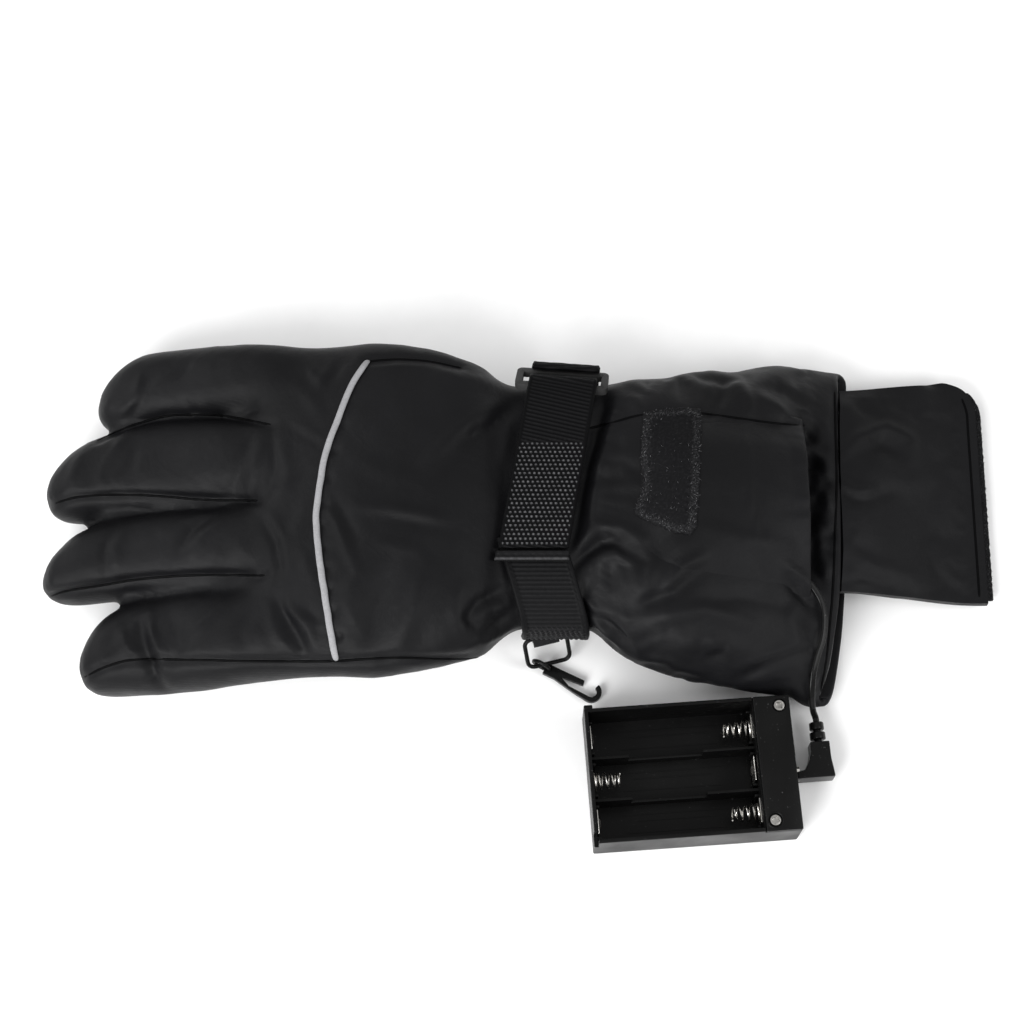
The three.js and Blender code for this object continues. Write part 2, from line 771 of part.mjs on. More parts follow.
// Wrist strap: bands that lie round the drawn-in wrist. The path is given by the angle
// round the wrist in degrees and the distance off its surface.
function wristPoint(angle, off) {
  const section = shrink(handSection(0), -off);
  const at = sectionPoint(section, THREE.MathUtils.degToRad(angle));
  return new THREE.Vector2(at.y, at.z);
}

function wristPath(from, to, off, steps) {
  const points = [];
  for (let i = 0; i <= steps; i += 1) points.push(wristPoint(mix(from, to, i / steps), off));
  return points;
}

function circlePath(centre, radius, from, to, steps) {
  const points = [];
  for (let i = 0; i <= steps; i += 1) {
    const angle = THREE.MathUtils.degToRad(mix(from, to, i / steps));
    const way = new THREE.Vector2(Math.cos(angle), Math.sin(angle));
    points.push(centre.clone().addScaledVector(way, radius));
  }
  return points;
}

// A band of even thickness, a path of (y, z) points for each share of its width
function band(pathAt, thickness, width, centre, skew) {
  const rings = [];
  for (const share of [-0.5, 0, 0.5]) {
    const path = pathAt(share);
    const upper = [];
    const lower = [];
    path.forEach((point, i) => {
      const before = path[Math.max(i - 1, 0)];
      const after = path[Math.min(i + 1, path.length - 1)];
      const way = after.clone().sub(before).normalize().multiplyScalar(thickness / 2);
      const x = centre + share * width + skew * point.x;
      upper.push(new THREE.Vector3(x, point.x - way.y, point.y + way.x));
      lower.push(new THREE.Vector3(x, point.x + way.y, point.y - way.x));
    });
    rings.push([...upper, ...lower.reverse()]);
  }
  return ribbon(rings);
}

// A closed solid through rings that are two rows of points, there and back
function ribbon(rings) {
  const count = rings[0].length;
  const faces = [];
  const last = (rings.length - 1) * count;
  for (let r = 0; r < rings.length - 1; r += 1) {
    for (let k = 0; k < count; k += 1) {
      const next = (k + 1) % count;
      const a = r * count + k;
      const b = r * count + next;
      faces.push(a, a + count, b, b, a + count, b + count);
    }
  }
  for (let k = 0; k < count / 2 - 1; k += 1) {
    const back = count - 1 - k;
    faces.push(k, k + 1, back, k + 1, back - 1, back);
    faces.push(last + k, last + back, last + k + 1, last + k + 1, last + back, last + back - 1);
  }
  return orient(rings.flat(), faces);
}

const lowerRun = strapStandOff + strapThickness / 2;
const upperRun = lowerRun + strapThickness + clearance;
const barGap = ringBar * 0.8 + clearance + strapThickness / 2;

// The near bar of the rectangular ring sits where the strap folds back on itself, and the
// ring slopes down the side of the wrist, turned a little in its own plane.
const barMiddle = wristPoint(barAngle, lowerRun + barGap);
const slope = THREE.MathUtils.degToRad(-ringSlope);
const downSlope = new THREE.Vector2(Math.cos(slope), Math.sin(slope));
const barCentre = strapCentre + strapSkew * barMiddle.x;

function barAt(share, reach) {
  const slip = reach - share * strapWidth * Math.tan(THREE.MathUtils.degToRad(ringTurn));
  return barMiddle.clone().addScaledVector(downSlope, slip);
}

function strapWebbing() {
  const drop = 2 * barGap - (upperRun - lowerRun);
  const over = [];
  for (let i = 0; i <= 12; i += 1) {
    const off = upperRun + 0.3 + drop * (1 - THREE.MathUtils.smoothstep(i / 12, -0.25, 0.5));
    over.push(wristPoint(mix(barAngle + 10, 110, i / 12), off));
  }
  const pathAt = (share) => [
    ...wristPath(104, barAngle + 6, lowerRun, 8),
    ...circlePath(barAt(share, 0), barGap, -118 - ringSlope / 4, 66 - ringSlope / 4, 9),
    ...over,
  ];
  return band(pathAt, strapThickness, strapWidth, strapCentre, strapSkew);
}

function strapTab() {
  const path = wristPath(111.5, 116.5, upperRun + 0.6, 2);
  return band(() => path, strapThickness * 1.7, strapWidth + 1, strapCentre, strapSkew);
}

function strapAnchor() {
  const path = wristPath(106, 196, lowerRun, 16);
  return band(() => path, strapThickness, strapWidth - 1, anchorCentre, anchorSkew);
}

function ringTab() {
  const reach = ringReach - ringBar;
  const pathAt = (share) => [
    ...wristPath(-8, 8, lowerRun, 3),
    ...circlePath(barAt(share, reach), barGap, -110, 80, 8),
  ];
  return band(pathAt, strapThickness, strapWidth, strapCentre, strapSkew);
}

// Space that a band takes out of the puffed cloth beside it, open to the outside
function strapSpace(from, to, centre, skew) {
  const depth = 12;
  const off = strapStandOff - clearance + depth / 2;
  const path = wristPath(from, to, off, 14);
  return band(() => path, depth, strapWidth + 1 + 2 * clearance, centre, skew);
}

const strapSpaces = () =>
  strapSpace(-18, 100, strapCentre, strapSkew)
    .add(strapSpace(90, 140, strapCentre, strapSkew))
    .add(strapSpace(102, 200, anchorCentre, anchorSkew));

// Rectangular ring
function strapRing() {
  const window = { length: strapWidth + 3.4, reach: ringReach - 2 * ringBar };
  const outline = rounded(window.length + 2 * ringBar, ringReach, ringBar * 0.8);
  outline.holes.push(rounded(window.length, window.reach, ringBar * 0.25));
  const geometry = new THREE.ExtrudeGeometry(outline, {
    depth: ringBar,
    bevelEnabled: false,
    curveSegments: 4,
  });
  geometry.translate(0, 0, -ringBar / 2);
  geometry.rotateZ(THREE.MathUtils.degToRad(-ringTurn));
  geometry.rotateX(slope);
  const middle = barAt(0, (ringReach - ringBar) / 2);
  return solidFrom(geometry.translate(barCentre, middle.x, middle.y));
}

// A rounded rectangle about the origin
function rounded(length, width, radius) {
  const shape = new THREE.Shape();
  const x = length / 2 - radius;
  const y = width / 2 - radius;
  shape.absarc(x, y, radius, 0, Math.PI / 2);
  shape.absarc(-x, y, radius, Math.PI / 2, Math.PI);
  shape.absarc(-x, -y, radius, Math.PI, 1.5 * Math.PI);
  shape.absarc(x, -y, radius, 1.5 * Math.PI, 2 * Math.PI);
  shape.closePath();
  return shape;
}

// Wire ring under the end of the strap: a loop in its own plane, hanging towards -Y
function wireLoop(points, wire, sides = 6) {
  const vertices = [];
  const faces = [];
  points.forEach((point, i) => {
    const before = points[(i + points.length - 1) % points.length];
    const after = points[(i + 1) % points.length];
    const way = after.clone().sub(before).normalize();
    for (let k = 0; k < sides; k += 1) {
      const angle = (2 * Math.PI * k) / sides;
      const out = (Math.cos(angle) * wire) / 2;
      const up = (Math.sin(angle) * wire) / 2;
      vertices.push(new THREE.Vector3(point.x + way.y * out, point.y - way.x * out, up));
      const next = (k + 1) % sides;
      const here = i * sides;
      const there = ((i + 1) % points.length) * sides;
      faces.push(here + k, there + k, here + next, here + next, there + k, there + next);
    }
  });
  return orient(vertices, faces);
}

function wireRing() {
  const outline = rounded(wireRingWidth, wireRingDepth, wireRingWidth * 0.16);
  const loop = wireLoop(outline.getPoints(2).slice(0, -1), wireThickness);
  return loop.translate([0, -wireRingDepth / 2, 0]);
}

// Tab of webbing that holds the ring's upper side
function ringHolder() {
  const radius = wireThickness / 2 + clearance + strapThickness / 2;
  const path = circlePath(new THREE.Vector2(0, 0), radius, -150, 160, 10);
  return band(() => path, strapThickness, wireRingWidth * 0.6, 0, 0);
}

// Clip: a one-piece plastic hook with a springy tongue and an upright eye for the ring
function clipSolid() {
  const end = clipLength - clipEye - clipHook;
  const shank = clipEye * 0.55;
  const inner = clipHook - clipBar;
  const body = new THREE.Shape();
  body.moveTo(clipEye * 0.4, -shank);
  body.lineTo(end, -clipHook);
  body.absarc(end, 0, clipHook, -Math.PI / 2, 0.4 * Math.PI);
  body.absarc(end, 0, inner, 0.4 * Math.PI, -Math.PI / 2, true);
  body.lineTo(clipEye * 2.2, clipBar - shank);
  body.lineTo(clipEye * 2.2, 0);
  body.lineTo(end - clipHook, inner * 0.4);
  body.lineTo(end - clipHook * 1.1, inner * 0.4 + clipBar);
  body.lineTo(clipEye * 0.4, shank);
  body.closePath();
  const options = { depth: clipThickness, bevelEnabled: false, curveSegments: 6 };
  const hook = solidFrom(new THREE.ExtrudeGeometry(body, options));
  const ring = new THREE.Shape();
  ring.absarc(0, 0, clipEye, 0, 2 * Math.PI);
  const hole = new THREE.Path();
  hole.absarc(0, 0, clipEye - clipEyeWall, 0, 2 * Math.PI);
  ring.holes.push(hole);
  const eye = new THREE.ExtrudeGeometry(ring, { ...options, depth: clipEyeWidth });
  eye.rotateX(Math.PI / 2).translate(0, clipEyeWidth / 2, clipEye);
  return hook.add(solidFrom(eye));
}

// Battery case, in its own frame: the cells lie along X
const cellPitch = cellDiameter + 0.1;
const caseWidth = 3 * cellPitch + 2 * caseWall;
const bayStart = -caseLength / 2 + caseWall;
const bayEnd = caseLength / 2 - coverLength;
const wellTop = caseHeight - coverThickness - clearance;

const screws = [
  { name: "case_screw_far", x: caseLength / 2 - screwInset, y: caseWidth / 2 - screwInset },
  { name: "case_screw_near", x: bayEnd + screwInset, y: screwInset - caseWidth / 2 },
];

// The two thin walls between the bays, higher beside the contacts at both ends
function dividers() {
  const half = dividerWall / 2;
  const low = caseWall - bite;
  let walls = box(bayStart - bite, bayStart, -half, half, low, low + bite);
  for (const at of [-cellPitch / 2, cellPitch / 2]) {
    const near = at - half;
    const far = at + half;
    walls = walls
      .add(box(bayStart - bite, bayEnd + bite, near, far, low, dividerHeight))
      .add(box(bayStart - bite, bayStart + dividerStep, near, far, low, dividerHigh))
      .add(box(bayEnd - dividerStep * 0.6, bayEnd + bite, near, far, low, dividerHigh));
  }
  return walls;
}

function batteryCase() {
  const x = caseLength / 2;
  const y = caseWidth / 2;
  const within = y - caseWall;
  const above = caseHeight + 1;
  let shell = box(-x, x, -y, y, 0, caseHeight)
    .subtract(box(bayStart, bayEnd, -within, within, caseWall, above))
    .subtract(box(bayEnd + caseWall, x - caseWall, -within, within, caseWall, above))
    .subtract(box(bayEnd, x + 1, -y - 1, y + 1, wellTop, above))
    .subtract(box(-x - 1, bayStart + bite, -y - 1, notchLength - y, notchRise, above))
    .add(dividers())
    .add(box(-x, lugLength - x, y - bite, y + lugProud, 0, caseHeight));
  for (const screw of screws) {
    const postHeight = wellTop - caseWall + bite;
    shell = shell
      .add(rod(screwPost, postHeight, "z", screw.x, screw.y, wellTop - postHeight / 2))
      .subtract(rod(screwShank + clearance, 2 * screwDepth, "z", screw.x, screw.y, wellTop));
  }
  return shell.subtract(rod(jackRadius, caseWall + 1, "x", x - caseWall / 2, jackSide, jackRise));
}

function coverSolid() {
  const x = caseLength / 2;
  const y = caseWidth / 2;
  let cover = box(bayEnd + clearance, x, -y, y, caseHeight - coverThickness, caseHeight);
  for (const screw of screws) {
    const sink = 2 * screwHead + clearance;
    cover = cover
      .subtract(rod(screwRadius + clearance, sink, "z", screw.x, screw.y, caseHeight))
      .subtract(rod(screwShank + clearance, 2 * caseHeight, "z", screw.x, screw.y, 0));
  }
  return cover;
}

function screwSolid(screw) {
  const top = caseHeight + clearance / 2;
  const shankLength = screwDepth + coverThickness;
  const head = rod(screwRadius, screwHead, "z", screw.x, screw.y, top - screwHead / 2, 14);
  const shank = rod(screwShank, shankLength, "z", screw.x, screw.y, top - shankLength / 2, 8);
  const half = screwSlot / 2;
  const slot = box(-screwRadius, screwRadius, -half, half, top - screwSlot, top + 1);
  return head.add(shank).subtract(slot.translate([screw.x, screw.y, 0]));
}

// Contacts: in each bay a coil spring at one end and a flat plate at the other, turn about
const bays = [
  { name: "far", y: cellPitch, spring: 1 },
  { name: "middle", y: 0, spring: -1 },
  { name: "near", y: -cellPitch, spring: 1 },
];
const contactRise = caseWall + cellDiameter / 2;

function springGeometry() {
  const points = [];
  const steps = springTurns * 7;
  for (let i = 0; i <= steps; i += 1) {
    const share = i / steps;
    const angle = (2 * Math.PI * i) / 7;
    const radius = mix(springRadius, springTipRadius, share);
    const y = radius * Math.cos(angle);
    points.push(new THREE.Vector3(share * springLength, y, radius * Math.sin(angle)));
  }
  const wire = new THREE.Shape();
  wire.absarc(0, 0, springWire / 2, 0, 2 * Math.PI);
  return new THREE.ExtrudeGeometry(wire, {
    steps,
    extrudePath: new THREE.CatmullRomCurve3(points),
    curveSegments: 3,
    bevelEnabled: false,
  });
}

function contactSolid() {
  const half = contactSize / 2;
  const plate = box(0, contactThickness, -half, half, -half, half);
  const reach = contactThickness + contactBoss;
  return plate.add(rod(contactSize / 4, reach, "x", reach / 2, 0, 0, 12));
}

// Plug: a right-angled body, its ribbed strain relief and the barrel in the jack
function plugBody() {
  const foot = plugFoot;
  const back = plugReach;
  const shape = new THREE.Shape();
  shape.moveTo(-foot + 1.6, -plugHeel);
  shape.lineTo(-1.2, -plugHeel);
  shape.quadraticCurveTo(0, -plugHeel, 0, -plugHeel + 1.4);
  shape.lineTo(-0.4, back);
  shape.lineTo(-0.4 - plugNeck, back);
  shape.lineTo(-0.4 - plugNeck, back - 4.6);
  shape.quadraticCurveTo(-plugNeck - 0.9, 1.8, -foot + 0.4, plugHeel * 0.36);
  shape.quadraticCurveTo(-foot - 0.2, -plugHeel * 0.5, -foot + 1.6, -plugHeel);
  return solidFrom(
    new THREE.ExtrudeGeometry(shape, {
      depth: plugThickness - 2 * plugBevel,
      bevelSize: plugBevel,
      bevelThickness: plugBevel,
      bevelOffset: -plugBevel,
      bevelSegments: 1,
      curveSegments: 4,
    }).translate(plugRight, jackSide, jackRise - plugThickness / 2 + plugBevel),
  );
}

function strainRelief() {
  const centre = plugRight - 0.4 - plugNeck / 2;
  const start = jackSide + plugReach + clearance;
  const rib = plugNeck / 2 + 0.3;
  const low = jackRise - plugThickness * 0.36;
  const high = jackRise + plugThickness * 0.36;
  let relief = rod(1.5, reliefLength, "y", centre, start + reliefLength / 2, jackRise, 10);
  for (const row of [0.26, 0.8]) {
    const at = start + row * reliefLength;
    relief = relief.add(box(centre - rib, centre + rib, at - 1.3, at + 1.3, low, high));
  }
  return relief;
}

// Lead: from inside the pocket, out at the mouth's near corner, over the edge of the
// gauntlet and down to the plug
const leadPoints = [
  [58, -10, 38.9],
  [66, -15.5, 36.6],
  [74, -20.5, 33.9],
  [81, -24, 31.1],
  [86.3, -27.3, 29.2],
  [89.6, -30.6, 27.8],
  [92.1, -35, 26.4],
  [92.9, -40.3, 25.2],
  [92.2, -47, 23.8],
  [90.2, -53, 22.1],
  [89, -58, 20.3],
  [88.6, -63, 17.6],
  [88.9, -66.8, 13.7],
  [89.7, -69.0, 9.4],
  [90.6, -70.2, 7.0],
  [90.9, -70.8, 6.5],
  [90.9, -71.5, 6.4],
];

function leadGeometry() {
  const curve = new THREE.CatmullRomCurve3(leadPoints.map((row) => new THREE.Vector3(...row)));
  const section = new THREE.Shape();
  section.absarc(0, 0, leadDiameter / 2, 0, 2 * Math.PI);
  return new THREE.ExtrudeGeometry(section, {
    steps: 24,
    extrudePath: curve,
    curveSegments: 4,
    bevelEnabled: false,
  });
}

const handWall = handForm().subtract(handHollow()).subtract(thumbWay());
const gauntletCuff = gauntletForm().subtract(gauntletHollow());
place("hand_shell", handWall.subtract(strapSpaces()), cloth);
for (const finger of fingers) place(finger.name, fingerSolid(finger), cloth);
place("thumb", thumbSolid(), cloth);
place("gauntlet", gauntletCuff.subtract(strapSpaces()), cloth);
place("pocket_panel", pocketSolid(), cloth);
place("loop_patch", patchSolid(), pile);
place("pocket_flap", flapSolid(), cloth);
place("hook_strip", stripSolid(), pile);
place("piping", pipingSolid(), piping);
place("strap_anchor", strapAnchor(), webbing);
place("strap_webbing", strapWebbing(), webbing);
place("strap_tab", strapTab(), webbing);
place("strap_ring", strapRing(), ringPlastic);
place("ring_tab", ringTab(), webbing);

// The wire ring hangs from the underside of the wrist, its lower side in the clip's eye
const wireRingOff = strapStandOff + wireThickness / 2 + clearance + strapThickness;
const wireRingPlace = wristPoint(wireRingAngle, wireRingOff);
const wireRingTilt = Math.asin((wireRingPlace.y - clipEye) / wireRingDepth);
const hanging = new THREE.Group();
hanging.position.set(wireRingX, wireRingPlace.x, wireRingPlace.y);
hanging.rotation.set(wireRingTilt, 0, THREE.MathUtils.degToRad(wireRingTurn), "ZXY");
place("wire_ring", wireRing(), plastic, hanging);
place("ring_holder", ringHolder(), webbing, hanging);
glove.add(hanging);
glove.updateMatrixWorld(true);

const clip = place("clip", clipSolid(), plastic);
const hangPoint = hanging.localToWorld(new THREE.Vector3(clipPlace, -wireRingDepth, 0));
clip.position.set(hangPoint.x, hangPoint.y, 0);
clip.rotation.z = THREE.MathUtils.degToRad(clipTurn);

const caseGroup = new THREE.Group();
caseGroup.position.set(caseX, caseY, 0);
caseGroup.rotation.z = THREE.MathUtils.degToRad(caseTurn);
glove.add(caseGroup);
place("battery_case", batteryCase(), plastic, caseGroup);
place("case_cover", coverSolid(), plastic, caseGroup);
for (const screw of screws) place(screw.name, screwSolid(screw), metal, caseGroup);
for (const bay of bays) {
  const springWall = bay.spring > 0 ? bayEnd : bayStart;
  const plateWall = bay.spring > 0 ? bayStart : bayEnd;
  const spring = place(`spring_${bay.name}`, solidFrom(springGeometry()), metal, caseGroup);
  spring.position.set(springWall - bay.spring * (clearance + springWire / 2), bay.y, contactRise);
  spring.rotation.z = bay.spring > 0 ? Math.PI : 0;
  const plate = place(`contact_${bay.name}`, contactSolid(), metal, caseGroup);
  plate.position.set(plateWall + bay.spring * clearance, bay.y, contactRise);
  plate.rotation.z = bay.spring > 0 ? 0 : Math.PI;
}
place("plug_body", plugBody(), rubber, caseGroup);
place("strain_relief", strainRelief(), rubber, caseGroup);
const barrelMiddle = plugRight - plugFoot - clearance - barrelLength / 2;
const barrel = rod(barrelRadius, barrelLength, "x", barrelMiddle, jackSide, jackRise);
place("plug_barrel", barrel, metal, caseGroup);

// The origin is the middle of the glove and its case on the table, without the lead
const extent = new THREE.Box3();
const onLead = ["plug_body", "strain_relief", "plug_barrel"];
glove.updateMatrixWorld(true);
glove.traverse((piece) => {
  if (piece.isMesh && !onLead.includes(piece.name)) extent.expandByObject(piece, true);
});
place("lead", solidFrom(leadGeometry()), rubber);
const middle = extent.getCenter(new THREE.Vector3());
glove.position.set(-middle.x, -middle.y, -extent.min.z);

export default glove;
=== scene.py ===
import math

import bmesh
import bpy
import numpy as np
from mathutils import Matrix, Vector, noise
from mathutils.bvhtree import BVHTree


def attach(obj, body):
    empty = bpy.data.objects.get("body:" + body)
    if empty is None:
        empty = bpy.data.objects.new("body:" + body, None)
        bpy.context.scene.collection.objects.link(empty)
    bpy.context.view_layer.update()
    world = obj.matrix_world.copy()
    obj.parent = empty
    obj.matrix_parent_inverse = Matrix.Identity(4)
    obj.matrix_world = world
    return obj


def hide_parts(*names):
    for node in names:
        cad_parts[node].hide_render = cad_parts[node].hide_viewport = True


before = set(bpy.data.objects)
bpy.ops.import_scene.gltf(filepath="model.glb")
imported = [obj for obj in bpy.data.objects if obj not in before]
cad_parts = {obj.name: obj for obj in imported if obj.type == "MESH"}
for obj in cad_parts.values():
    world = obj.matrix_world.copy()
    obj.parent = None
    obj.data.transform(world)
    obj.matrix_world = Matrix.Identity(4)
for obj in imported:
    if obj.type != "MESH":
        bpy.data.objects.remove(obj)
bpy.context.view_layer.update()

# Lengths below are millimetres from the wrist seam (x), the hand's middle line (y) and the table (z).
wristAt = (9.975, 27.622)  # wrist seam and middle line in the frame


def metres(x, y, z=0.0):
    return Vector(((x + wristAt[0]) / 1000, (y + wristAt[1]) / 1000, z / 1000))


def toMetres(points):
    return (np.asarray(points, float) + (*wristAt, 0)) / 1000


# Frame millimetres to millimetres from the wrist seam
def fromFrame(points):
    return np.asarray(points, float) - (*wristAt, 0)


# Camera, light and table
view = {"lift": 71, "lens": 80.86, "away": 804.2, "look": (-14, 0, 20)}
lift = math.radians(view["lift"])
eye = (
    view["look"][0],
    view["look"][1] - view["away"] * math.cos(lift),
    view["look"][2] + view["away"] * math.sin(lift),
)
cameraData = bpy.data.cameras.new("camera")
cameraData.lens = view["lens"]
cameraData.clip_start = 0.01
camera = bpy.data.objects.new("camera", cameraData)
bpy.context.scene.collection.objects.link(camera)
camera.location = metres(*eye)
camera.rotation_euler = (metres(*view["look"]) - camera.location).to_track_quat("-Z", "Y").to_euler()
bpy.context.scene.camera = camera

light = {
    "sky": 0.7,
    "key": {"at": (-380, -560, 560), "size": 0.5, "power": 7.2},
    "side": {"at": (-640, 220, 420), "size": 0.4, "power": 1.6},
    "edge": {"at": (540, -220, 520), "size": 0.4, "power": 2.0},
}
bpy.context.scene.view_settings.view_transform = "Standard"
world = bpy.data.worlds.new("paleStudio")
bpy.context.scene.world = world
world.use_nodes = True
world.node_tree.nodes["Background"].inputs["Color"].default_value = (1, 1, 1, 1)
world.node_tree.nodes["Background"].inputs["Strength"].default_value = light["sky"]
for name in ("key", "side", "edge"):
    lamp = bpy.data.lights.new(name, "AREA")
    lamp.shape = "DISK"
    lamp.size = light[name]["size"]
    lamp.energy = light[name]["power"]
    lampObject = bpy.data.objects.new(name, lamp)
    lampObject.location = metres(*light[name]["at"])
    lampObject.rotation_euler = (metres(0, 0, 10) - lampObject.location).to_track_quat("-Z", "Y").to_euler()
    bpy.context.scene.collection.objects.link(lampObject)


# Operators
def nothing():
    for obj in bpy.context.selected_objects:
        obj.select_set(False)


def only(obj):
    nothing()
    obj.select_set(True)
    bpy.context.view_layer.objects.active = obj


def modify(obj, kind, **settings):
    only(obj)
    modifier = obj.modifiers.new(kind.lower(), kind)
    for name, value in settings.items():
        setattr(modifier, name, value)
    bpy.ops.object.modifier_apply(modifier=modifier.name)


def edit(obj, mode="FACE"):
    only(obj)
    bpy.ops.object.mode_set(mode="EDIT")
    bpy.ops.mesh.select_mode(type=mode)
    bpy.ops.mesh.select_all(action="DESELECT")


def pick(obj, test, kind="faces"):
    mesh = bmesh.from_edit_mesh(obj.data)
    for part in getattr(mesh, kind):
        middle = part.calc_center_median() if kind == "faces" else part.co
        part.select_set(bool(test(middle, part)))
    mesh.select_flush_mode()
    bmesh.update_edit_mesh(obj.data)


def objectMode():
    bpy.ops.object.mode_set(mode="OBJECT")


def settle(obj, smooth=35):
    only(obj)
    bpy.ops.object.transform_apply(location=True, rotation=True, scale=True)
    if smooth:
        bpy.ops.object.shade_smooth_by_angle(angle=math.radians(smooth))


def smoothShaded(obj):
    only(obj)
    bpy.ops.object.shade_smooth()
    return obj


def join(objects, name):
    nothing()
    for obj in objects:
        obj.select_set(True)
    bpy.context.view_layer.objects.active = objects[0]
    bpy.ops.object.join()
    objects[0].name = name
    return objects[0]


def meshOf(name, points, faces):
    mesh = bpy.data.meshes.new(name)
    mesh.from_pydata([tuple(p) for p in toMetres(points)], [], [tuple(int(i) for i in f) for f in faces])
    mesh.validate()
    obj = bpy.data.objects.new(name, mesh)
    bpy.context.scene.collection.objects.link(obj)
    return obj


def outward(obj):
    edit(obj, "FACE")
    bpy.ops.mesh.select_all(action="SELECT")
    bpy.ops.mesh.normals_make_consistent(inside=False)
    objectMode()


def pointsOf(obj):
    flat = np.empty(len(obj.data.vertices) * 3)
    obj.data.vertices.foreach_get("co", flat)
    return fromFrame(flat.reshape(-1, 3) * 1000)


def normalsOf(obj):
    flat = np.empty(len(obj.data.vertices) * 3)
    obj.data.vertex_normals.foreach_get("vector", flat)
    return flat.reshape(-1, 3)


def movePoints(obj, points):
    obj.data.vertices.foreach_set("co", toMetres(points).ravel())
    obj.data.update()


def finished(obj, slot, material, *nodes):
    obj.data.materials.clear()
    obj.data.materials.append(material)
    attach(obj, "root")
    if nodes:
        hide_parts(*nodes)
    return obj


def smoothly(t, low=0.0, high=1.0):
    s = np.clip((np.asarray(t, float) - low) / (high - low), 0, 1)
    return s * s * (3 - 2 * s)


# Smooth curve through the rows of a table
def along(rows, column, at):
    stations = np.array([row[0] for row in rows], float)
    values = np.array([row[column] for row in rows], float)
    last = len(rows) - 1
    at = np.clip(np.asarray(at, float), stations[0], stations[-1])
    i = np.clip(np.searchsorted(stations, at, side="right") - 1, 0, last - 1)
    slopes = np.array([
        (values[min(k + 1, last)] - values[max(k - 1, 0)])
        / max(stations[min(k + 1, last)] - stations[max(k - 1, 0)], 1e-6)
        for k in range(last + 1)
    ])
    span = stations[i + 1] - stations[i]
    t = (at - stations[i]) / span
    return (
        (2 * t**3 - 3 * t**2 + 1) * values[i] + (t**3 - 2 * t**2 + t) * span * slopes[i]
        + (3 * t**2 - 2 * t**3) * values[i + 1] + (t**3 - t**2) * span * slopes[i + 1]
    )


# One ring round a section (x, side, half, rise, above, below, square), evenly spaced from the far side
def ringRound(section, sides):
    x, side, half, rise, above, below, square = section
    angle = np.linspace(0, 2 * math.pi, 721)
    c, s = np.cos(angle), np.sin(angle)
    y = side + half * np.sign(c) * np.abs(c) ** (2 / square)
    z = rise + np.where(s > 0, above, below) * np.sign(s) * np.abs(s) ** (2 / square)
    run = np.concatenate([[0], np.cumsum(np.hypot(np.diff(y), np.diff(z)))])
    want = np.linspace(0, run[-1], sides, endpoint=False)
    return np.stack([np.full(sides, x), np.interp(want, run, y), np.interp(want, run, z)], axis=1)


def tube(name, rings, closeFirst=False, closeLast=False):
    count = len(rings[0])
    faces = []
    for r in range(len(rings) - 1):
        for k in range(count):
            n = (k + 1) % count
            faces.append((r * count + k, r * count + n, (r + 1) * count + n, (r + 1) * count + k))
    points = [p for ring in rings for p in ring]
    if closeFirst:
        points.append(np.mean(rings[0], axis=0))
        faces += [(len(points) - 1, (k + 1) % count, k) for k in range(count)]
    if closeLast:
        base = (len(rings) - 1) * count
        points.append(np.mean(rings[-1], axis=0))
        faces += [(len(points) - 1, base + k, base + (k + 1) % count) for k in range(count)]
    obj = meshOf(name, points, faces)
    outward(obj)
    return obj


# Rings carried along a path: ringAt(centre, side, up), turned as little as the path allows
def carried(path, up, ringAt):
    rings = []
    for k, centre in enumerate(path):
        way = path[min(k + 1, len(path) - 1)] - path[max(k - 1, 0)]
        way /= np.linalg.norm(way)
        up = up - way * (up @ way)
        up /= np.linalg.norm(up)
        rings.append(ringAt(centre, np.cross(way, up), up))
    return rings


def runOf(line):
    return np.concatenate([[0], np.cumsum(np.hypot(*np.diff(line, axis=0).T))])


# Where a point is seen from the camera, on the level of the fingers' sides: all charted lines use it
def seen(points):
    points = np.asarray(points, float)
    t = (view["look"][2] - eye[2]) / (points[:, 2] - eye[2])
    return np.stack([eye[0] + t * (points[:, 0] - eye[0]), eye[1] + t * (points[:, 1] - eye[1])], axis=1)


# Distance of points from a line, and how far along the line the nearest place is, from 0 to 1
def offLine(places, line):
    line = np.asarray(line, float)
    best = np.full(len(places), 1e9)
    share = np.zeros(len(places))
    run = runOf(line)
    for k in range(len(line) - 1):
        a, d = line[k], line[k + 1] - line[k]
        t = np.clip(((places - a) @ d) / (d @ d), 0, 1)
        away = np.hypot(*(places - a - t[:, None] * d).T)
        nearer = away < best
        best[nearer] = away[nearer]
        share[nearer] = (run[k] + t[nearer] * (run[k + 1] - run[k])) / run[-1]
    return best, share


# Height of charted folds: rows of (width, height, points of the line); a height below 0 is a valley
def foldsAt(places, rows):
    height = np.zeros(len(places))
    for width, rise, *line in rows:
        away, share = offLine(places, line)
        fade = np.sin(np.clip(0.12 + 0.76 * share, 0, 1) * math.pi)
        height += rise * fade * np.exp(-((away / width) ** 2))
    return height


def groove(places, lines, width, depth):
    height = np.zeros(len(places))
    for line in lines:
        away, share = offLine(places, line)
        height = np.minimum(height, -depth * np.exp(-((away / width) ** 2)))
    return height


# Soft uneven swell of stuffed cloth
def swell(points, size, amount, seed=0.0):
    return amount * np.array([noise.noise(Vector((p[0] / size, p[1] / size, p[2] / size + seed))) for p in points])


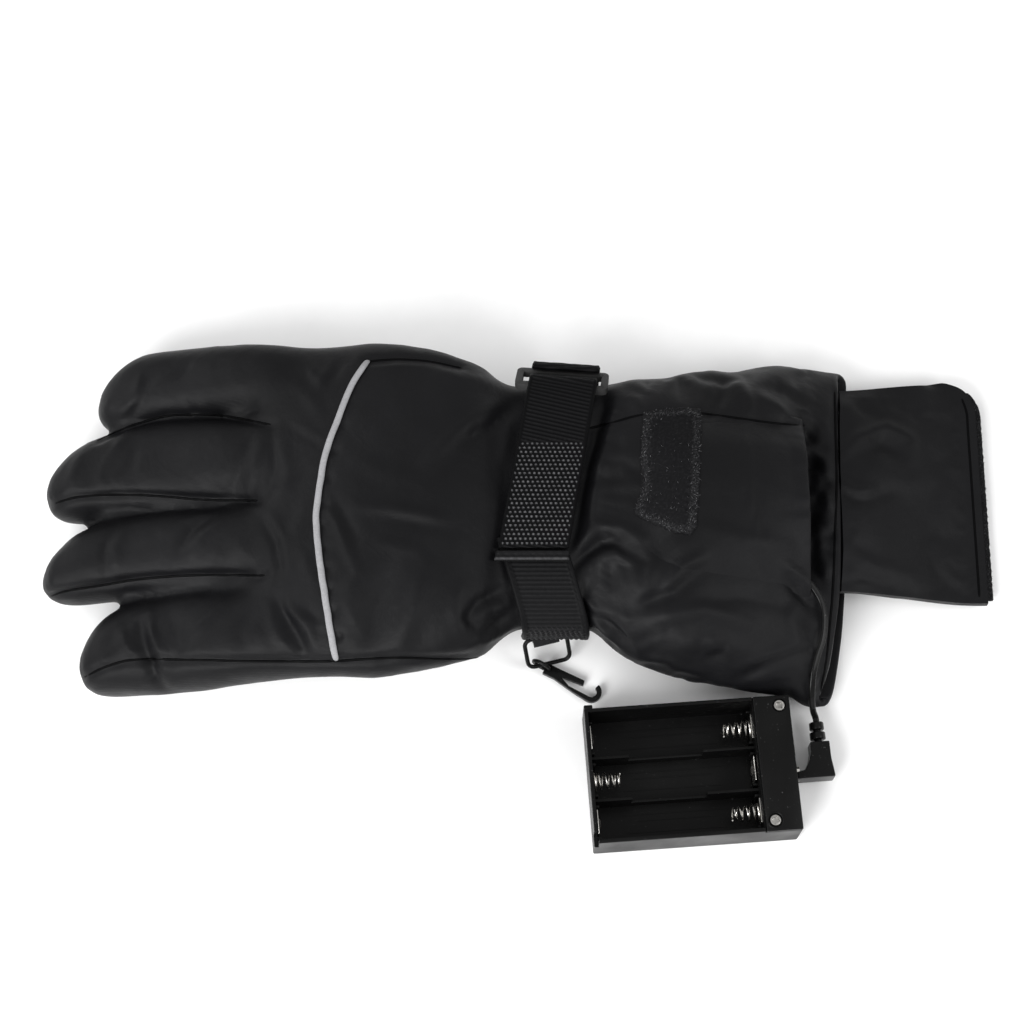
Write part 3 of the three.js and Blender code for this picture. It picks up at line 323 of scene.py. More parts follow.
# Padded cloth: pressure puffs it out between pinned places, and the spare cloth wrinkles
def puff(obj, pinned, cap, pressure=4.0, spare=0.06, bend=0.6, frames=20, sink=0.4):
    before = pointsOf(obj)
    outwards = normalsOf(obj)
    group = obj.vertex_groups.new(name="pinned")
    for weight in np.unique(np.round(pinned, 1)):
        chosen = np.nonzero(np.round(pinned, 1) == weight)[0]
        if weight > 0:
            group.add([int(i) for i in chosen], float(weight), "REPLACE")
    only(obj)
    cloth = obj.modifiers.new("padding", "CLOTH")
    settings = cloth.settings
    settings.quality = 4
    settings.mass = 0.25
    settings.tension_stiffness = settings.compression_stiffness = 18
    settings.shear_stiffness = 8
    settings.bending_stiffness = bend
    settings.tension_damping = settings.compression_damping = 8
    settings.air_damping = 2
    settings.vertex_group_mass = "pinned"
    settings.pin_stiffness = 3
    settings.shrink_min = -spare
    settings.use_pressure = True
    settings.uniform_pressure_force = pressure
    settings.effector_weights.gravity = 0
    cloth.collision_settings.use_collision = False
    cloth.point_cache.frame_start = 1
    cloth.point_cache.frame_end = frames
    scene = bpy.context.scene
    for number in range(1, frames + 1):
        scene.frame_set(number)
    bpy.ops.object.modifier_apply(modifier=cloth.name)
    scene.frame_set(1)
    obj.vertex_groups.clear()
    moved = pointsOf(obj) - before
    out = (moved * outwards).sum(axis=1)
    moved -= outwards * np.minimum(out + cap * sink, 0)[:, None]  # wrinkles go in less than they come out
    length = np.linalg.norm(moved, axis=1)
    moved *= (np.tanh(length / cap) * cap / np.maximum(length, 1e-6))[:, None]
    movePoints(obj, before + moved)
    print("puffed", obj.name, len(before), "points, moved up to", round(float(length.max()), 1), "mm")


# Finishes
def finish(name, color, roughness, metallic=0.0, specular=0.5, sheen=0.0):
    material = bpy.data.materials.new(name)
    material.use_nodes = True
    shader = material.node_tree.nodes["Principled BSDF"]
    for socket, value in (
        ("Base Color", (*color, 1)), ("Roughness", roughness), ("Metallic", metallic),
        ("Specular IOR Level", specular), ("Sheen Weight", sheen), ("Sheen Roughness", 0.4),
    ):
        shader.inputs[socket].default_value = value
    return material, material.node_tree.nodes, material.node_tree.links, shader


def node(nodes, kind, **values):
    made = nodes.new(kind)
    for name, value in values.items():
        if name in made.inputs:
            made.inputs[name].default_value = value
        else:
            setattr(made, name, value)
    return made


# Textures on the piece's own coordinates, one for each set of values
def textures(nodes, links, *sets, kind="ShaderNodeTexNoise"):
    place = node(nodes, "ShaderNodeTexCoord").outputs["Object"]
    made = [node(nodes, kind, **values) for values in sets]
    for texture in made:
        links.new(place, texture.inputs["Vector"])
    return made


def ramp(nodes, links, source, low, dark, high, pale):
    made = nodes.new("ShaderNodeValToRGB")
    for element, position, color in zip(made.color_ramp.elements, (low, high), (dark, pale)):
        element.position = position
        element.color = (*(color if isinstance(color, tuple) else (color,) * 3), 1)
    links.new(source, made.inputs["Fac"])
    return made.outputs["Color"]


def bump(nodes, links, source, distance, strength=1.0, under=None):
    made = node(nodes, "ShaderNodeBump", Strength=strength, Distance=distance)
    links.new(source, made.inputs["Height"])
    if under:
        links.new(under, made.inputs["Normal"])
    return made.outputs["Normal"]


def nylonFinish(name="paddedNylon", shade=0.8, gloss=0.12):
    material, nodes, links, shader = finish(name, (0.0055, 0.0055, 0.0063), 0.46, specular=gloss)
    weave, cross = textures(
        nodes, links, {"Scale": 900.0, "Distortion": 0.6, "wave_type": "BANDS", "bands_direction": "X"},
        {"Scale": 900.0, "Distortion": 0.6, "wave_type": "BANDS", "bands_direction": "Y"}, kind="ShaderNodeTexWave",
    )
    fine, crinkle, patchy = textures(
        nodes, links, {"Scale": 420.0, "Detail": 4.0, "Roughness": 0.6},
        {"Scale": 95.0, "Detail": 5.0, "Roughness": 0.55, "Distortion": 0.6}, {"Scale": 22.0, "Detail": 3.0},
    )
    threads = node(nodes, "ShaderNodeMath", operation="ADD")
    links.new(weave.outputs["Fac"], threads.inputs[0])
    links.new(cross.outputs["Fac"], threads.inputs[1])
    dark, pale = [(tone * shade, tone * shade, tone * shade * 1.14) for tone in (0.0045, 0.0068)]
    links.new(ramp(nodes, links, patchy.outputs["Fac"], 0.35, dark, 0.7, pale), shader.inputs["Base Color"])
    links.new(ramp(nodes, links, crinkle.outputs["Fac"], 0.3, 0.4, 0.7, 0.52), shader.inputs["Roughness"])
    soft = bump(nodes, links, crinkle.outputs["Fac"], 0.0009, 0.35)
    soft = bump(nodes, links, fine.outputs["Fac"], 0.0002, 0.3, soft)
    links.new(bump(nodes, links, threads.outputs["Value"], 0.00006, 0.35, soft), shader.inputs["Normal"])
    return material


def plasticFinish(name, shade, roughness, grain=0.0, scale=700.0):
    material, nodes, links, shader = finish(name, (shade, shade, shade * 1.05), roughness, specular=0.13)
    fine, broad, dust = textures(
        nodes, links, {"Scale": scale, "Detail": 3.0}, {"Scale": 60.0, "Detail": 4.0, "Distortion": 0.4},
        {"Scale": 1500.0, "Detail": 1.0},
    )
    mixed = node(nodes, "ShaderNodeMix", data_type="RGBA", blend_type="ADD")
    mixed.inputs["Factor"].default_value = 0.5
    links.new(ramp(nodes, links, broad.outputs["Fac"], 0.3, shade * 0.8, 0.7, shade * 1.25), mixed.inputs["A"])
    links.new(ramp(nodes, links, dust.outputs["Fac"], 0.74, 0.0, 0.8, 0.12), mixed.inputs["B"])
    links.new(mixed.outputs["Result"], shader.inputs["Base Color"])
    low, high = roughness * 0.8, min(roughness * 1.25, 1)
    links.new(ramp(nodes, links, broad.outputs["Fac"], 0.3, low, 0.7, high), shader.inputs["Roughness"])
    links.new(bump(nodes, links, fine.outputs["Fac"], 0.0001, grain), shader.inputs["Normal"])
    return material


def metalFinish(name, color, roughness):
    material, nodes, links, shader = finish(name, color, roughness, metallic=1.0)
    tarnish = textures(nodes, links, {"Scale": 260.0, "Detail": 5.0})[0].outputs["Fac"]
    dull = tuple(c * 0.72 for c in color)
    links.new(ramp(nodes, links, tarnish, 0.3, dull, 0.65, color), shader.inputs["Base Color"])
    links.new(ramp(nodes, links, tarnish, 0.3, roughness * 1.6, 0.7, roughness), shader.inputs["Roughness"])
    links.new(bump(nodes, links, tarnish, 0.00005, 0.3), shader.inputs["Normal"])
    return material


# Cloth whose colour goes from a dark to a light value by a value on each point: the cloth's own tone, and on the
# strap's webbing also painted highlights
def toneAndHighlightFinish(name, dark, pale, roughness, scale=500.0, rough=0.5):
    material, nodes, links, shader = finish(name, dark, roughness, specular=0.05, sheen=0.01)
    fibre = textures(nodes, links, {"Scale": scale, "Detail": 5.0, "Roughness": 0.7})[0].outputs["Fac"]
    toneAndHighlight = node(nodes, "ShaderNodeAttribute", attribute_name="toneAndHighlight", attribute_type="GEOMETRY")
    uneven = node(nodes, "ShaderNodeMath", operation="MULTIPLY")
    links.new(toneAndHighlight.outputs["Fac"], uneven.inputs[0])
    links.new(ramp(nodes, links, fibre, 0.35, 0.6, 0.65, 1.0), uneven.inputs[1])
    links.new(ramp(nodes, links, uneven.outputs["Value"], 0.0, dark, 1.0, pale), shader.inputs["Base Color"])
    low, high = roughness * 0.85, min(roughness * 1.2, 1)
    links.new(ramp(nodes, links, fibre, 0.3, low, 0.7, high), shader.inputs["Roughness"])
    links.new(bump(nodes, links, fibre, 0.00025, rough), shader.inputs["Normal"])
    return material


nylon = nylonFinish()
# On the webbing the pale colour serves painted highlights on dots, rib crests and the tab's lip, and the pale loose
# thread ends
webbing = toneAndHighlightFinish("ribbedWebbing", (0.0022, 0.0022, 0.0025), (0.13, 0.13, 0.135), 0.5, 900.0, 0.4)
pile = toneAndHighlightFinish("loopPile", (0.0035, 0.0035, 0.004), (0.3, 0.3, 0.31), 0.7, 650.0, 0.9)
reflective = toneAndHighlightFinish("reflectivePiping", (0.15, 0.15, 0.155), (0.31, 0.31, 0.32), 0.42, 1400.0, 0.4)
blackPlastic = plasticFinish("blackPlastic", 0.0035, 0.3, 0.12)
greyPlastic = plasticFinish("greyPlastic", 0.03, 0.36, 0.15)
softRubber = plasticFinish("leadRubber", 0.004, 0.24, 0.1, 400.0)
plated = metalFinish("platedMetal", (0.78, 0.76, 0.72), 0.2)
print("finishes made")


def toneAndHighlightOn(obj, values):
    layer = obj.data.attributes.new("toneAndHighlight", "FLOAT", "POINT")
    layer.data.foreach_set("value", np.clip(np.asarray(values, float), 0, 1))


# Lead to the battery case
lead = {
    "width": 2.2, "thick": 1.25, "steps": 132,
    "points": (
        (58, -10, 38.9), (66, -15.5, 36.6), (74, -20.5, 33.9), (81, -24, 31.1), (86.3, -27.3, 29.2),
        (89.6, -30.6, 27.8), (92.1, -35, 26.4), (92.9, -40.3, 25.2), (92.2, -47, 23.8), (90.2, -53, 22.1),
        (89, -58, 20.3), (88.6, -63, 17.6), (88.9, -66.8, 13.7), (89.7, -69.0, 9.4), (90.6, -70.2, 7.0),
        (90.9, -71.2, 6.5), (90.9, -72.7, 6.4),
    ),
}
caseAt = {"x": 47, "y": -91, "turn": 4.1}


def inCase(x, y, z):
    turn = math.radians(caseAt["turn"])
    c, s = math.cos(turn), math.sin(turn)
    return metres(caseAt["x"] + x * c - y * s, caseAt["y"] + x * s + y * c, z)


def turnedWithCase(obj):
    turn = Matrix.Rotation(math.radians(caseAt["turn"]), 4, "Z")
    obj.matrix_world = Matrix.Translation(inCase(0, 0, 0)) @ turn @ obj.matrix_world
    settle(obj, 0)


def smoothRoute(points, steps):
    points = np.asarray(points, float)
    run = np.concatenate([[0], np.cumsum(np.linalg.norm(np.diff(points, axis=0), axis=1))])
    rows = [(run[i], *points[i]) for i in range(len(points))]
    at = np.linspace(0, run[-1], steps)
    return np.stack([along(rows, k, at) for k in (1, 2, 3)], axis=1)


def leadRing(centre, side, up):
    ring = []
    for k in range(20):
        turn = 2 * math.pi * k / 20
        x = lead["width"] / 2 * math.cos(turn)
        waist = 1 - 0.3 * math.exp(-((x / 0.3) ** 2))  # two cores side by side
        ring.append(centre + side * x + up * lead["thick"] / 2 * math.sin(turn) * waist)
    return ring


route = smoothRoute(lead["points"], lead["steps"])
leadPiece = smoothShaded(tube("leadPiece", carried(route, np.array((0, 0, 1.0)), leadRing), True, True))
finished(leadPiece, "lead_rubber", softRubber, "lead")

plug = {
    "right": 48, "neck": 5, "reach": 10, "thick": 8.6, "side": -1.7, "rise": 6.4, "bodyWidth": 6.75, "bodyDepth": 3.4,
    # length, widening and shift of each step from the neck down towards the heel
    "steps": ((0.0028, 1.12, -0.0004), (0.0034, 1.3, -0.0007), (0.0030, 1.02, 0.0002)),
    # start, length, width and depth of the strain relief's rings
    "relief": (
        (0.35, 0.9, 1.35, 1.7), (1.2, 2.5, 2.7, 3.1), (3.9, 0.8, 1.4, 1.6), (4.6, 2.6, 2.5, 2.9), (6.9, 0.65, 1.5, 1.5),
    ),
}
neckX = plug["right"] - 0.4 - plug["neck"] / 2
neckY = plug["side"] + plug["reach"]
nothing()
bpy.ops.mesh.primitive_cube_add(size=1, location=(0, 0, 0))
plugPiece = bpy.context.object
plugPiece.name = "plugPiece"
plugPiece.scale = (plug["bodyWidth"] / 1000, plug["bodyDepth"] / 1000, plug["thick"] * 0.9 / 1000)
plugPiece.location = (neckX / 1000, (neckY - plug["bodyDepth"] / 2) / 1000, plug["rise"] / 1000)
settle(plugPiece, 0)
edit(plugPiece)
for step, wide, shift in plug["steps"]:
    bpy.ops.mesh.select_all(action="DESELECT")
    low = min(v.co.y for v in bmesh.from_edit_mesh(plugPiece.data).verts)
    pick(plugPiece, lambda co, face: face.normal.y < -0.9 and co.y < low + 1e-6)
    bpy.ops.mesh.extrude_region_move(TRANSFORM_OT_translate={"value": (shift, -step, 0)})
    bpy.ops.transform.resize(value=(wide, 1, 1.03))
bpy.ops.mesh.select_all(action="DESELECT")
pick(plugPiece, lambda co, face: face.normal.x < -0.5 and co.y < (plug["side"] + 1.5) / 1000)
bpy.ops.mesh.extrude_region_move(TRANSFORM_OT_translate={"value": (-0.0031, -0.0003, 0)})
bpy.ops.transform.resize(value=(1, 0.86, 0.94))
bpy.ops.mesh.select_all(action="SELECT")
bpy.ops.mesh.bevel(offset=0.0004, segments=2, affect="EDGES")
objectMode()
modify(plugPiece, "SUBSURF", levels=2, render_levels=2)
settle(plugPiece, 60)
turnedWithCase(plugPiece)
outward(plugPiece)
finished(plugPiece, "lead_rubber", softRubber, "plug_body")

reliefParts = []
for start, length, wide, deep in plug["relief"]:
    nothing()
    bpy.ops.mesh.primitive_cylinder_add(vertices=28, radius=1, depth=1, rotation=(math.pi / 2, 0, 0))
    part = bpy.context.object
    settle(part, 0)
    part.scale = (wide / 1000, length / 1000, deep / 1000)
    part.location = (neckX / 1000, (neckY + start + length / 2) / 1000, plug["rise"] / 1000)
    settle(part, 0)
    modify(part, "BEVEL", width=0.00035, segments=3, limit_method="ANGLE")
    reliefParts.append(part)
relief = join(reliefParts, "strainReliefPiece")
settle(relief, 40)
turnedWithCase(relief)
finished(relief, "lead_rubber", softRubber, "strain_relief")
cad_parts["plug_barrel"].data.materials.clear()
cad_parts["plug_barrel"].data.materials.append(plated)


# Hand and fingers, one padded form
hand = {
    "length": 98, "width": 122.4, "thick": 31, "lift": 16.5, "square": 2.6,
    "voxel": 0.0019, "wall": 3.0, "nose": 9,
    # along, side, width, lift, thick: shares from the wrist seam to the finger roots
    "sections": (
        (0.0, 0.006, 0.722, 0.48, 1.0), (0.13, 0.006, 0.722, 0.48, 1.0), (0.185, -0.006, 0.765, 0.54, 1.02),
        (0.24, -0.016, 0.842, 0.72, 1.05), (0.33, -0.023, 0.893, 0.93, 1.05), (0.48, -0.02, 0.951, 1.0, 1.02),
        (0.63, -0.021, 0.99, 1.0, 0.99), (0.83, -0.018, 1.0, 0.85, 0.97), (1.0, -0.009, 1.0, 0.64, 0.935),
    ),
}
fingers = {
    "height": 29, "gap": 0.6, "square": 2.35, "root": 25, "tip": 14.6,
    # name, length, width, lean
    "each": (("index", 64.5, 33.2, 8), ("middle", 79.5, 28.8, 9.5), ("ring", 79.5, 33.2, 9.5), ("little", 64, 28, 8)),
    # along, width, height, lean, drop
    "sections": (
        (0.0, 0.97, 1.0, 0.0, 0.0), (0.16, 0.985, 1.0, 0.0, 0.2), (0.32, 1.0, 1.0, 0.0, 0.45),
        (0.48, 1.0, 0.98, 0.02, 0.7), (0.62, 0.99, 0.96, 0.08, 0.88), (0.75, 0.95, 0.93, 0.2, 0.97),
        (0.86, 0.82, 0.85, 0.48, 1.0), (0.94, 0.58, 0.66, 0.78, 1.0), (0.985, 0.3, 0.4, 0.96, 1.0),
        (1.0, 0.1, 0.14, 1.0, 1.0),
    ),
}


def handSection(at, shrink=0.0):
    width = float(along(hand["sections"], 2, at)) * hand["width"]
    thick = float(along(hand["sections"], 4, at)) * hand["thick"]
    rise = float(along(hand["sections"], 3, at)) * hand["lift"] + thick / 2
    side = float(along(hand["sections"], 1, at)) * hand["width"]
    half = thick / 2 - shrink
    return (-at * hand["length"], side, width / 2 - shrink, rise, half, half, hand["square"])


def handForm():
    rings = []
    for at in np.linspace(0, 1, 56):
        rings.append(ringRound(handSection(at), 120))
    for turn in np.linspace(0.15, 1, 6) * math.pi / 2:  # the knuckles round off towards the fingers
        section = list(handSection(1, hand["nose"] * (1 - math.cos(turn))))
        section[0] -= hand["nose"] * 0.35 * math.sin(turn)
        rings.append(ringRound(section, 120))
    return tube("handForm", rings, True, True)


def fingerForm(name, length, width, lean, side):
    rings = []
    table = fingers["sections"]
    for at in np.concatenate([np.linspace(-0.3, 0.84, 44), np.linspace(0.86, 1, 12)]):
        held = max(at, 0.0)
        tall = float(along(table, 2, held)) * fingers["height"] / 2
        rise = fingers["root"] + (fingers["tip"] - fingers["root"]) * float(along(table, 4, held))
        sunk = 3.2 * float(smoothly(-at, 0.02, 0.3))  # it sinks into the back of the hand
        half = float(along(table, 1, held)) * width / 2 - sunk
        middle = side - float(along(table, 3, held)) * lean
        x = -hand["length"] - 0.35 - at * length
        rings.append(ringRound((x, middle, half, rise, tall - sunk, tall - sunk, fingers["square"]), 56))
    return tube(name + "Form", rings, True, True)


spanAll = sum(f[2] for f in fingers["each"]) + fingers["gap"] * 3
edge = handSection(1)[1] - spanAll / 2
forms = [handForm()]
for name, length, width, lean in fingers["each"]:
    forms.append(fingerForm(name, length, width, lean, edge + width / 2))
    edge += width + fingers["gap"]
handCloth = join(forms, "handCloth")
modify(handCloth, "REMESH", mode="VOXEL", voxel_size=hand["voxel"], adaptivity=0)
modify(handCloth, "SMOOTH", factor=0.5, iterations=3)
points = pointsOf(handCloth)
roots = 0.8 * smoothly(points[:, 0], -121, -97) * (1 - smoothly(points[:, 0], -74, -60)) * smoothly(points[:, 2], 8, 16)
group = handCloth.vertex_groups.new(name="roots")  # the fingers run on smoothly into the hand
for share in np.linspace(0.1, 1, 10):
    group.add([int(i) for i in np.nonzero(np.abs(roots - share) < 0.05)[0]], float(share), "REPLACE")
modify(handCloth, "SMOOTH", factor=0.9, iterations=60, vertex_group="roots")
handCloth.vertex_groups.clear()
print("hand formed", len(handCloth.data.vertices))

handFolds = (
    (1, -1.1, (-101.7, -1.3), (-96.7, -10.3), (-94.7, -20.1), (-95.8, -26.6)),
    (2, 0.6, (-98.9, -0.7), (-93.2, -10.3), (-90.9, -21.5)),
    (1, -0.7, (-98.9, 31), (-97.3, 16.8), (-100.9, 4.7)),
    (2.2, 0.5, (-96.3, 28.4), (-93.5, 15.3), (-94.8, 5.3)),
    (2, -1.9, (-95.7, -31), (-90.3, -41.6), (-84.8, -50.8)),
    (1.4, 1.3, (-91.9, -34.1), (-83.9, -42.6), (-81.9, -49.2)),
    (1.6, 0.8, (-97.4, -34.1), (-95.3, -43.7), (-88.7, -52.2)),
    (1, 0.5, (-92.7, 34.5), (-80, 26.6)),
    (1, -0.5, (-92.4, 32.2), (-79.5, 23.4)),
    (0.8, 0.3, (-86.5, 18.8), (-82.4, 16.2)),
    (2, 0.9, (-87.3, 56), (-82.5, 50.1), (-77.9, 54.5)),
    (1.8, -1, (-75, 56.9), (-79.7, 49.2)),
    (2, 0.5, (-91.2, 48.6), (-86.1, 43), (-81.1, 35.7)),
    (1.3, 0.6, (-98.3, 6.4), (-90.1, 12.8)),
    (1.2, 0.7, (-91.8, -35.7), (-78.7, -41.8)),
    (2.4, 0.4, (-86.4, 3.9), (-90, -10.3), (-85.6, -21.5)),
    (1.3, 0.9, (-79.9, 3.3), (-75.1, -4.7), (-71.7, -13.1), (-67.5, -22.2)),
    (1.2, -0.8, (-76.4, 6.2), (-72.2, -2.1), (-67.7, -10.3)),
    (1.8, 0.9, (-69.4, 2.4), (-54.5, 1), (-36.3, -3)),
    (2, -0.5, (-64.5, -2.1), (-49.1, -3.9), (-34.3, -6.4)),
    (2.2, 0.6, (-63.7, -10.3), (-47.6, -13.8), (-43.5, -18.7)),
    (3.4, -2, (-55.5, -21.3), (-60, -29.9), (-63.5, -46.4)),
    (3.4, 1.4, (-44.6, -21.5), (-47.3, -34.1), (-53.7, -49.2)),
    (2.4, 0.9, (-67.5, -22.9), (-71.2, -32.7), (-69.6, -46.4)),
    (2.8, 1.3, (-44, 19.4), (-37.3, 25.8), (-27.8, 34.9), (-21, 38.3)),
    (2.2, -1.6, (-13.3, 39.2), (-21, 31.9), (-31.8, 26.6)),
    (2.2, 0.8, (-14.8, 34.9), (-16.9, 21.1)),
    (2, -2, (-16.6, -28.2), (-25.3, -33.2), (-28.7, -38.5), (-24.2, -42.6)),
    (2.4, 0.9, (-31.5, -27.1), (-33.5, -35.4), (-30, -46.4)),
    (1.6, 0.9, (-20.1, -35.4), (-15.5, -34.1)),
    (1.6, 1.1, (-7.8, -39.3), (-18.1, -44.3), (-30, -49.2)),
    (1.3, -0.9, (-12.8, -35.4), (-20.8, -41.6), (-24.7, -47.8)),
    (1.6, 0.5, (-86.3, -15.9), (-82.8, -27.1)),
    (1.6, -0.5, (-84.5, -34.1), (-78.9, -43.7)),
    (2.2, 0.7, (-40.3, 51.9), (-30.6, 49.6), (-18.3, 47.7)),
    (2, 0.4, (-65, 54.1), (-48.5, 56)),
    (1.6, -0.6, (-72.5, -34.1), (-68.3, -45.1), (-72.1, -53.3)),
    (3, 0.4, (-71.1, 21.1), (-58.8, 13.9), (-48, 13.9)),
)
fingerFolds = (
    (1.6, 0.8, (-146.5, 51.1), (-147.7, 43), (-152.6, 37.1)),
    (1.4, -0.6, (-143.3, 49.6), (-146, 41.5), (-148.9, 34.9)),
    (1.3, 0.5, (-141.7, 46.7), (-135.8, 51.1)),
    (0.9, -0.4, (-131, 43), (-126.7, 37.4)),
    (1, -0.6, (-128.9, 56), (-132.8, 51.1)),
    (1.5, 0.5, (-156, 45.2), (-158.9, 35.7)),
    (1.4, 0.8, (-149.5, 30.1), (-156.3, 21.1), (-159.7, 13.9), (-156.9, 7.9)),
    (1.4, 0.5, (-165.5, 21.1), (-171.2, 7.4)),
    (1.3, -0.55, (-153.6, 26.6), (-162.4, 9.6)),
    (1.6, -0.7, (-106.3, 26.6), (-109.5, 16.8), (-112.3, 6.4)),
    (1.5, 0.5, (-102.2, 26.6), (-104.9, 16.8), (-106.7, 6.4)),
    (1.1, -0.4, (-122.5, 13.6), (-114.5, 6.4)),
    (1.8, -0.4, (-146.8, 25.5), (-148.2, 16.8), (-151.9, 7.3)),
    (1.2, -0.5, (-152.4, -4.4), (-155.8, -15.9), (-154.5, -24.6)),
    (1.8, 0.45, (-148.9, -4.7), (-152.7, -13.1), (-150.2, -22.9)),
    (1.5, -1, (-119.1, -1.5), (-126, -6.1), (-130.2, -13.8)),
    (1.4, 0.6, (-115.7, -3.2), (-122.2, -8.2), (-125.6, -15.9)),
    (1.6, 0.4, (-172.6, -15.9), (-173.5, -27.1)),
    (2.2, 0.4, (-111.4, -10.3), (-103, -20.1)),
    (1.4, -1.9, (-141.4, -40.3), (-140.8, -47.8), (-136, -58.7), (-132.6, -63.8)),
    (1.4, 1.1, (-139.1, -34.1), (-138.7, -41.6), (-134.8, -50.8)),
    (1.5, 0.9, (-149.2, -41.2), (-146.6, -47.8), (-143.2, -52.2)),
    (1.5, -0.5, (-144.6, -35.7), (-153.1, -48.1)),
    (2, 0.7, (-114.1, -34.3), (-120.8, -40.3), (-126.1, -45.8)),
    (2.4, -0.5, (-132.3, -35.4), (-128.5, -45.1), (-129.5, -51.9)),
    (2.6, -0.35, (-102.5, -34.1), (-107.4, -43.7), (-104.5, -51.2)),
    (1.6, 0.4, (-155.8, -51.9), (-150.3, -56)),
)
handSeams = (
    ((-160.7, 26.6), (-154.5, 29.8), (-147.8, 32.7), (-136.4, 36), (-126.9, 36.4), (-115.9, 36), (-99.5, 32.7)),
    ((-176.5, 2.2), (-171.2, 4.2), (-165.9, 5.6), (-153.8, 6.4), (-139, 6), (-122.8, 4.6), (-103.2, 4.2)),
    ((-175.8, -32), (-169.1, -29.2), (-157.3, -27.1), (-142.8, -24.6), (-124.2, -23.2), (-99.6, -23.2)),
    ((-160.3, -59.8), (-153, -56), (-143.9, -53.5), (-124.1, -53.5), (-96.5, -54), (-75.5, -54)),
    ((-75.5, -54), (-53.6, -52.7), (-36.5, -53.3), (-26, -52.7), (-12.8, -48.1)),
    ((-86.5, -54.1), (-75.5, -54)),
    ((-66.4, 56.9), (-55.5, 57.8), (-44.4, 57.1), (-32, 54.5)),
)
pipingLine = (
    (-65.3, 57.1), (-70.7, 47.9), (-75.5, 34.5), (-79.6, 21.3), (-81.8, 4.4), (-82.2, -3), (-80.6, -17.6),
    (-78.2, -32.1), (-75.6, -46.4), (-74, -53.5),
)
pucker = {"off": 2.1, "count": 13, "deep": 1.6, "width": 1.3}


def pinnedHand(points):
    places = seen(points)
    pinned = np.zeros(len(points))
    for line in handSeams:
        away, share = offLine(places, line)
        pinned = np.maximum(pinned, (away < 1.5) * (points[:, 2] > 12) * 1.0)
    pinned = np.maximum(pinned, smoothly(-points[:, 2], -14, -9) * 1.0)  # the underside lies still
    pinned = np.maximum(pinned, smoothly(points[:, 0], -20, -13))  # the strap holds the wrist
    return pinned


puff(handCloth, pinnedHand(pointsOf(handCloth)), 2.6, pressure=6.0, spare=0.0, bend=6.0)
points, normals = pointsOf(handCloth), normalsOf(handCloth)
places = seen(points)
upper = smoothly(normals[:, 2], -0.1, 0.35)
height = upper * (1.15 * foldsAt(places, handFolds) + 1.35 * foldsAt(places, fingerFolds))
beside = [(x + pucker["off"], y) for x, y in pipingLine]
away, share = offLine(places, beside)
pulse = np.clip(np.sin(2 * math.pi * pucker["count"] * share + 1.6 * np.sin(9 * share)), 0, 1) ** 1.5
height -= upper * pucker["deep"] * pulse * np.exp(-((away / pucker["width"]) ** 2)) * smoothly(share, 0.12, 0.3)
height += upper * groove(places, handSeams, 1.3, 1.3)
height += swell(points, 26, 0.9) + swell(points, 9, 0.25, 7)
movePoints(handCloth, points + normals * height[:, None])
print("hand folded")


# Cuff: gauntlet, pocket and flap
cuff = {
    "length": 100.5, "width": 122.5, "thick": 41, "wall": 3.2, "farBow": -3.5, "nearBow": 8.5,
    "underlap": 4, "flare": 4.5,
    # along, side, width, lift, thick, belly, square
    "sections": (
        (0.0, 0.006, 0.722, 0.195, 0.756, 0.5, 2.6), (0.12, 0.006, 0.722, 0.18, 0.77, 0.5, 2.6),
        (0.18, -0.008, 0.755, 0.12, 0.85, 0.5, 2.5), (0.26, -0.02, 0.812, 0.04, 0.96, 0.48, 2.5),
        (0.35, -0.028, 0.855, 0.01, 1.0, 0.46, 2.5), (0.45, -0.032, 0.9, 0.0, 0.98, 0.44, 2.45),
        (0.56, -0.034, 0.935, 0.0, 0.92, 0.42, 2.4), (0.68, -0.036, 0.957, 0.0, 0.84, 0.4, 2.3),
        (0.8, -0.042, 0.97, 0.0, 0.75, 0.38, 2.2), (0.88, -0.052, 0.985, 0.0, 0.68, 0.31, 2.1),
        (0.94, -0.058, 0.985, 0.0, 0.63, 0.29, 2.05), (1.0, -0.06, 0.975, 0.0, 0.59, 0.28, 2.0),
    ),
}
pocket = {
    "start": 22, "length": 66.5, "width": 68, "side": -1, "gap": 4.6, "wall": 1.9,
    "openAt": 4.5, "openHalf": 30, "openDeep": 7,
}
flap = {
    "length": 52.6, "flare": 6.5, "width": 77, "thick": 3, "side": 9, "corner": 10.5, "endRise": 3.4, "drop": 16.6,
    "waves": ((0.24, 0.62, 0.13, 0.43), (0.5, 0.72, 0.12, 0.3), (0.12, 0.35, 0.14, 0.27)),
}


def cuffSection(at, shrink=0.0):
    table = cuff["sections"]
    width = float(along(table, 2, at)) * cuff["width"]
    thick = float(along(table, 4, at)) * cuff["thick"]
    raised = max(float(along(table, 3, at)) * cuff["thick"], 0)
    belly = float(along(table, 5, at))
    side = float(along(table, 1, at)) * cuff["width"]
    square = float(along(table, 6, at))
    flare = cuff["flare"] * float(smoothly(at, 0.5, 0.92))
    side, width = side + flare / 2, width + flare
    return (at * cuff["length"], side, width / 2 - shrink, raised + thick * belly,
            thick * (1 - belly) - shrink, thick * belly - shrink, square)


def mouthBow(aside):
    return np.where(np.asarray(aside) > 0, cuff["farBow"], cuff["nearBow"]) * np.asarray(aside) ** 2


def shapeMouth(ring, section):
    x, side, half, rise, above, below, square = section
    weight = float(smoothly(x / cuff["length"], 0.8, 1))
    aside = (ring[:, 1] - side) / half
    under = smoothly(rise - ring[:, 2], -above / 4, below / 2)
    ring[:, 0] += weight * (cuff["underlap"] * under - mouthBow(aside))
    return ring


